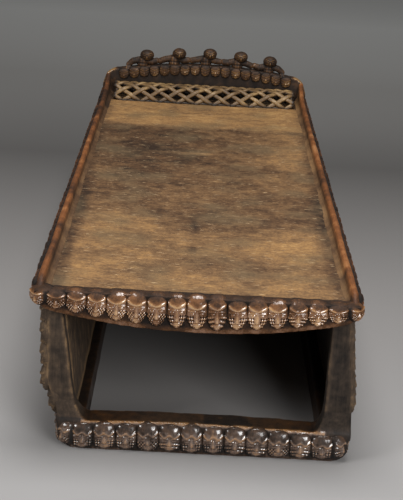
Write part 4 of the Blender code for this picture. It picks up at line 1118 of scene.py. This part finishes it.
# %% Figures
FIGURES, FIGURE_Y, SKULL = 5, (DECK_HEAD + BACK_FACE) / 2, 0.0182
PITCH = 2 * (CREST_HALF - 0.024) / FIGURES
HEAD_TIPS = (0.014, 0.016, 0.013, 0.011, 0.004)
SHOULDER, ELBOW, WRIST, OUTER_WRIST = 0.0118, 0.0110, 0.0102, 0.0090
seats = [((i - 2) * PITCH, crest_level(abs((i - 2) * PITCH) + 0.014)) for i in range(FIGURES)]
for i, ((x, seat), tip) in enumerate(zip(seats, HEAD_TIPS)):
    head = np.array((x + tip, FIGURE_Y - 0.003, seat + 0.0370))
    waist, chest = (x, FIGURE_Y, seat + 0.006), (x, FIGURE_Y, seat + 0.016)
    neck = (x + 0.7 * tip, FIGURE_Y - 0.001, seat + 0.026)
    shapes = [ball(head, (SKULL * 1.26, SKULL * 1.15, SKULL * 0.98), 15, 22)]
    shapes += limb([waist, chest], [0.0185, 0.0180]) + limb([chest, neck], [0.0150, 0.0120])
    for side in SIDES.values():
        shoulder = (x + side * 0.012, FIGURE_Y, seat + 0.0190)
        elbow = (x + side * PITCH * 0.30, FIGURE_Y - 0.001, seat + 0.0150)
        reach = x + side * (PITCH / 2 - 0.006)
        if 0 <= i + side < FIGURES:
            hand = (reach, FIGURE_Y, (seat + seats[i + side][1]) / 2 + 0.0145)
            shapes += limb([shoulder, elbow, hand], [SHOULDER, ELBOW, WRIST])
            continue
        grip = crest_level(abs(reach) + 0.0065) + 0.005
        hand = (reach, FIGURE_Y - 0.002, grip + 0.004)
        shapes += limb([shoulder, elbow, hand], [SHOULDER, ELBOW, OUTER_WRIST])
        for finger in (-0.0046, 0.0, 0.0046):
            knuckle = (reach + finger, FIGURE_Y - 0.006, grip + 0.002)
            fingertip = (reach + side * 0.001 + finger, DECK_HEAD + 0.001, grip - 0.010)
            shapes += limb([knuckle, fingertip], [0.0030, 0.0026])
    mesh = softened(f"figure_{i + 1}", shapes, 0.0013, 3, [(0.012, 0.0005)], 10.0 + i)
    points = points_of(mesh)
    local = (points - head) / SKULL
    across, out, up = local.T
    front = ramp(-out, 0.15, 0.5) * (np.linalg.norm(local, axis=1) < 1.2) * (up > -0.9)
    features, _ = face_relief(across * 1.15, up * 1.05, 0.30, 0.25, 0.0, 0.1, "rows")
    points[:, 1] -= SKULL * 0.40 * front * features
    mesh.vertices.foreach_set("co", points.ravel())
    mark_wear(mesh, 0.00024, 0.27)
    dress(f"crest_figure_{i + 1}", mesh, [f"headboard_figure_{i + 1}"], FIGURE_WOOD)

# %% [markdown]
# ## Posts and walls
# The walls lean, because the base ring stands a little to the right under the deck. The corner posts show
# plain, adzed faces to the front: the left one tucks in at its foot, the right one bows out, and both spread
# inwards into the base in a round hollow. A column of small heads runs down the outside of each post. The
# panels between the posts are thin, plain boards.

# %% Post and wall helpers
FILLET_TOP = BASE_HEIGHT + 0.050
POST_OUTER, POST_INNER = {-1: -0.304, 1: 0.315}, {-1: -0.274, 1: 0.277}
POST_SPREAD = {-1: 0.034, 1: -0.027}
LEFT_TUCK, LEFT_LEAN, RIGHT_BOW = 0.026, 0.138, 0.019


def wall_x(side, z):
    """Outer face of the walls at a height."""
    low, high = side * POST_FOOT + BASE_SHIFT, side * POST_TOP + POST_TOP_SHIFT
    return low + (high - low) * (z - RISER_TOP) / (UNDERSIDE - RISER_TOP)


def wall_lean(side):
    run = side * (wall_x(side, UNDERSIDE) - wall_x(side, RISER_TOP))
    return math.atan2(run, UNDERSIDE - RISER_TOP)


def post_edges(side, z):
    """Outer and inner edge of a corner post at a height. Its hollow is a quarter of an ellipse."""
    share = min(max((FILLET_TOP - z) / (FILLET_TOP - BASE_HEIGHT), 0.0), 1.0)
    hollow = 1 - math.sqrt(1 - share * share)
    outer, inner = POST_OUTER[side], POST_INNER[side] + POST_SPREAD[side] * hollow
    if side < 0:
        return outer + LEFT_TUCK * float(ramp(z, 0.155, 0.060)), inner + LEFT_LEAN * (UNDERSIDE - z)
    return outer + RIGHT_BOW * float(ramp(z, 0.340, 0.100)), inner


def rounded(xs, ys, z, radius, corner=5, edge=9):
    """A level ring: a rectangle with round corners and points along its edges."""
    (x0, x1), (y0, y1) = sorted(xs), sorted(ys)
    left, right, front, back = x0 + radius, x1 - radius, y0 + radius, y1 - radius
    centres = ((right, back), (left, back), (left, front), (right, front))
    following = ((left, y1), (x0, front), (right, y0), (x1, back))
    ring = []
    for quarter, ((cx, cy), (nx, ny)) in enumerate(zip(centres, following)):
        for a in np.linspace(0, math.pi / 2, corner) + quarter * math.pi / 2:
            ring.append((cx + radius * math.cos(a), cy + radius * math.sin(a), z))
        x, y, _ = ring[-1]
        for t in np.linspace(0, 1, edge + 2)[1:-1]:
            ring.append((x + t * (nx - x), y + t * (ny - y), z))
    return ring


print("walls lean by", [round(math.degrees(wall_lean(s)), 1) for s in SIDES.values()], "degrees")

# %% Corner posts
POST_NOISE, POST_SEED, POST_HEADS = [(0.05, 0.0012), (0.014, 0.0006)], 20.0, 5
LEFT_WEAR, RIGHT_WEAR = 0.44, 0.20
for side_name, side in SIDES.items():
    relief, worn, turn, low = 0.010, RIGHT_WEAR, 0, RISER_TOP + 0.010
    if side < 0:
        relief, worn, turn, low = 0.018, LEFT_WEAR, 16, RISER_TOP - 0.030
    for end_name, end, ys in (("foot", -1, FOOT_POST), ("head", 1, HEAD_POST)):
        name = f"{end_name}_{side_name}_post"
        levels = [RISER_TOP - 0.0013, *np.linspace(RISER_TOP - OVERLAP, UNDERSIDE + OVERLAP, 60)]
        mesh = loft(name, [rounded(post_edges(side, z), ys, z, 0.005) for z in levels])
        weather(mesh, POST_NOISE, POST_SEED)
        mark_wear(mesh, 0.0005, worn, points_of(mesh)[:, 2] < RISER_TOP + 0.004)
        places = [(post_edges(side, z)[0], sum(ys) / 2, z) for z in spread(low, UNDERSIDE, POST_HEADS)]
        row = head_row(places, side * (90 + end * turn), (0.036, relief, 0.066), wall_lean(side))
        dress(f"adzed_{name}", mesh, [name], WALL_WOOD, row, "post", 0.07, 0.07, 31 + end)

# %% Side posts and panels
BAYS, SIDE_POST_HALF, SIDE_POST_DEPTH, SIDE_POST_HEAD = 3, 0.030, 0.040, (0.033, 0.014, 0.046)
PANEL_INSET, PANEL_DEPTH = 0.008, 0.022
bay = (HEAD_POST[0] - FOOT_POST[1]) / BAYS
middles = [FOOT_POST[1] + bay * i for i in range(1, BAYS)]
side_posts = [(y - SIDE_POST_HALF, y + SIDE_POST_HALF) for y in middles]
uprights = [FOOT_POST, *side_posts, HEAD_POST]


def wall_board(name, side, inset, depth, ys, levels, *ring):
    """A leaning board between two Y limits, with its outer face inset from that of the wall."""
    rings = []
    for z in np.linspace(BASE_HEIGHT - OVERLAP, UNDERSIDE + OVERLAP, levels):
        outer = wall_x(side, z) - side * inset
        rings.append(rounded((outer, outer - side * depth), ys, z, *ring))
    return loft(name, rings)


for side_name, side in SIDES.items():
    for number, ys in enumerate(side_posts):
        name = f"{side_name}_side_post_{number + 1}"
        mesh = wall_board(name, side, 0.0, SIDE_POST_DEPTH, ys, 48, 0.004)
        weather(mesh, POST_NOISE, 24.0 + number + 4 * side)
        mark_wear(mesh, 0.0012, 0.20)
        places = [(wall_x(side, z), sum(ys) / 2, z) for z in spread(BASE_HEIGHT, UNDERSIDE, POST_HEADS)]
        row = head_row(places, side * 90, SIDE_POST_HEAD, wall_lean(side))
        dress(f"adzed_{name}", mesh, [name], WALL_WOOD, row, "side", 0.07, 0.07, 34 + number)
    for number, (before, after) in enumerate(zip(uprights, uprights[1:])):
        name = f"{side_name}_panel_{number + 1}"
        ys = (before[1] - OVERLAP, after[0] + OVERLAP)
        mesh = wall_board(name, side, PANEL_INSET, PANEL_DEPTH, ys, 26, 0.002, 3, 50)
        weather(mesh, [(0.07, 0.0014), (0.02, 0.0007)], 40.0 + number + 3 * side)
        # Painted light and shade: the left panels are given a lighter colour and the right ones a darker one,
        # as the lamp at the right front lights the inside of the left wall and leaves the right wall in
        # shade.
        mark_wear(mesh, 0.0014, 0.62 if side < 0 else 0.16)
        dress(f"adzed_{name}", mesh, [name], WALL_WOOD)

# %% [markdown]
# ## The base
# The base ring lies on the floor. Its end rails turn up at both ends into the posts, in the same hollow, and
# a row of broad heads runs round the outside, a little taller in the middle. The upturned ends lean forwards
# at their feet to meet the heads. They reach into the posts with the same hand-cut noise, so no seam shows.

# %% Shapes of the end rails
RAIL_HALF, RAIL_CROWN, RAIL_BOW = BASE_FACE - 0.001, BASE_HEIGHT + 0.007, 0.010
RAIL_CORNERS = ((1, 0.032), (-1, 0.044))


def rail_top(x):
    """Height of an end rail's front at x from its middle."""
    return RAIL_CROWN - RAIL_BOW * (x / RAIL_HALF) ** 2


def rail_outline():
    """Front view of an end rail: a bowed top, and lower corners rounded by a radius on each side."""
    outline = [(x + BASE_SHIFT, rail_top(x)) for x in np.linspace(-RAIL_HALF, RAIL_HALF, 25)]
    for side, radius in RAIL_CORNERS:
        arc = []
        for a in np.linspace(0, math.pi / 2, 9):
            x, z = RAIL_HALF - radius * (1 - math.cos(a)), 0.8 * radius * (1 - math.sin(a))
            arc.append((side * x + BASE_SHIFT, z))
        outline += arc if side > 0 else arc[::-1]
    return outline


def riser(side, end, face, back):
    """The upturned end of a rail. Its top is a little slimmer, to reach into the post."""
    ledge = face - end * 0.022
    rings = []
    for z in np.linspace(BASE_HEIGHT - 0.014, RISER_TOP + 0.008, 20):
        outer, inner = post_edges(side, z)
        tuck = 0.004 * float(ramp(z, RISER_TOP - 0.002, RISER_TOP + 0.006))
        lean = 0.0225 * float(ramp(z, RISER_TOP + 0.004, BASE_HEIGHT - 0.006))
        xs, ys = (outer - side * tuck, inner + side * tuck), (ledge + end * (lean - tuck), back + end * tuck)
        rings.append(rounded(xs, ys, z, 0.004))
    return loft("riser", rings)


print("end rail top from", round(rail_top(RAIL_HALF), 3), "to", round(rail_top(0.0), 3))

# %% End rails
BASE_RELIEF, BASE_HEADS, BASE_HEAD_WIDTH, BASE_ROW_HALF = 0.014, 12, 0.049, 0.272
BASE_CORNER_HEAD = (0.047, BASE_RELIEF, 0.048)
for end_name, end, (face, back) in (("foot", -1, FOOT_RAIL), ("head", 1, HEAD_RAIL[::-1])):
    shapes = [prism(rail_outline(), *sorted((face, back)))]
    shapes += [riser(side, end, face, back) for side in SIDES.values()]
    mesh = softened(f"{end_name}_rail", shapes, 0.003, 4, POST_NOISE, POST_SEED)
    x, y, z = points_of(mesh).T
    middle = np.abs(x - BASE_SHIFT)
    # Painted light: the upward faces of the rails, which lie in the deck's shade, are painted lighter.
    top = RIGHT_WEAR + 0.24 * ramp(points_of(mesh, "normal")[:, 2], 0.6, 0.9)
    level = np.where(z > BASE_HEIGHT + 0.006, np.where(x < BASE_SHIFT, LEFT_WEAR, RIGHT_WEAR), top)
    # Painted highlight: a line painted lighter along the front top edge of each rail, between the risers,
    # which is also glossier.
    highlight_distance = np.hypot(y - face, z - rail_top(x - BASE_SHIFT))
    level = level + 0.62 * ridge(highlight_distance, 0.005) * (middle < RAIL_HALF - 0.05)
    mark_wear(mesh, 0.0008, level, (z > RISER_TOP - 0.008) | (middle > RAIL_HALF - 0.030))
    row = []
    for x in spread(-BASE_ROW_HALF, BASE_ROW_HALF, BASE_HEADS):
        tall = rail_top(x) - 0.011
        place = (x + BASE_SHIFT, face, 0.004 + tall / 2)
        row.append((place, 0 if end < 0 else 180, 0.0, (BASE_HEAD_WIDTH, BASE_RELIEF, tall)))
    corner = (BASE_FACE - 0.016, face - end * 0.006, 0.033)
    row += corner_heads(*corner, 40 if end < 0 else 140, BASE_CORNER_HEAD, BASE_SHIFT)
    name = f"carved_{end_name}_base"
    dress(name, mesh, [f"{end_name}_base_rail"], BASE_WOOD, row, "base", 0.04, 0.04, 51 + end)

# %% Side rails
SIDE_RAIL_DEPTH, SIDE_RAIL_HEADS, SIDE_RAIL_HEAD = 0.056, 40, (0.0435, BASE_RELIEF, 0.062)
for side_name, side in SIDES.items():
    xs = [side * v + BASE_SHIFT for v in (BASE_FACE - SIDE_RAIL_DEPTH, BASE_FACE)]
    section = rounded(xs, (0.0, BASE_HEIGHT), 0.0, 0.003, 3, 6)
    stations = np.linspace(FOOT_RAIL[1] - OVERLAP, HEAD_RAIL[0] + OVERLAP, 200)
    mesh = loft(f"{side_name}_rail", [[(x, y, z) for x, z, _ in section] for y in stations])
    weather(mesh, [(0.06, 0.0008), (0.02, 0.0004)], 70.0 + side)
    inner = side * (points_of(mesh)[:, 0] - BASE_SHIFT) < BASE_FACE - 0.050
    mark_wear(mesh, 0.0012, np.where(inner, 0.34, 0.12), inner)
    spots = spread(FOOT_RAIL[1], HEAD_RAIL[0], SIDE_RAIL_HEADS)
    places = [(side * BASE_FACE + BASE_SHIFT, y, BASE_HEIGHT / 2) for y in spots]
    row = head_row(places, side * 90, SIDE_RAIL_HEAD)
    name = f"{side_name}_base"
    dress(f"carved_{name}", mesh, [f"{name}_rail"], BASE_WOOD, row, "side", seed=61 + side)

# %% [markdown]
# ## Size
# The heads were only a source for the rows, so they are taken away. The bounds of the dressed bed are then
# printed, to set beside the size of the solids printed at the start: they should differ by a few millimetres
# at most.

# %% Print the bed's size and finish
for kinds in head_sets.values():
    for obj in list(kinds.objects):
        bpy.data.objects.remove(obj)
    bpy.data.collections.remove(kinds)
for tree in (HEAD_ROW, BANDS):
    bpy.data.node_groups.remove(tree)
low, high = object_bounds()
print("bed:", [round(v, 4) for v in low], [round(v, 4) for v in high])
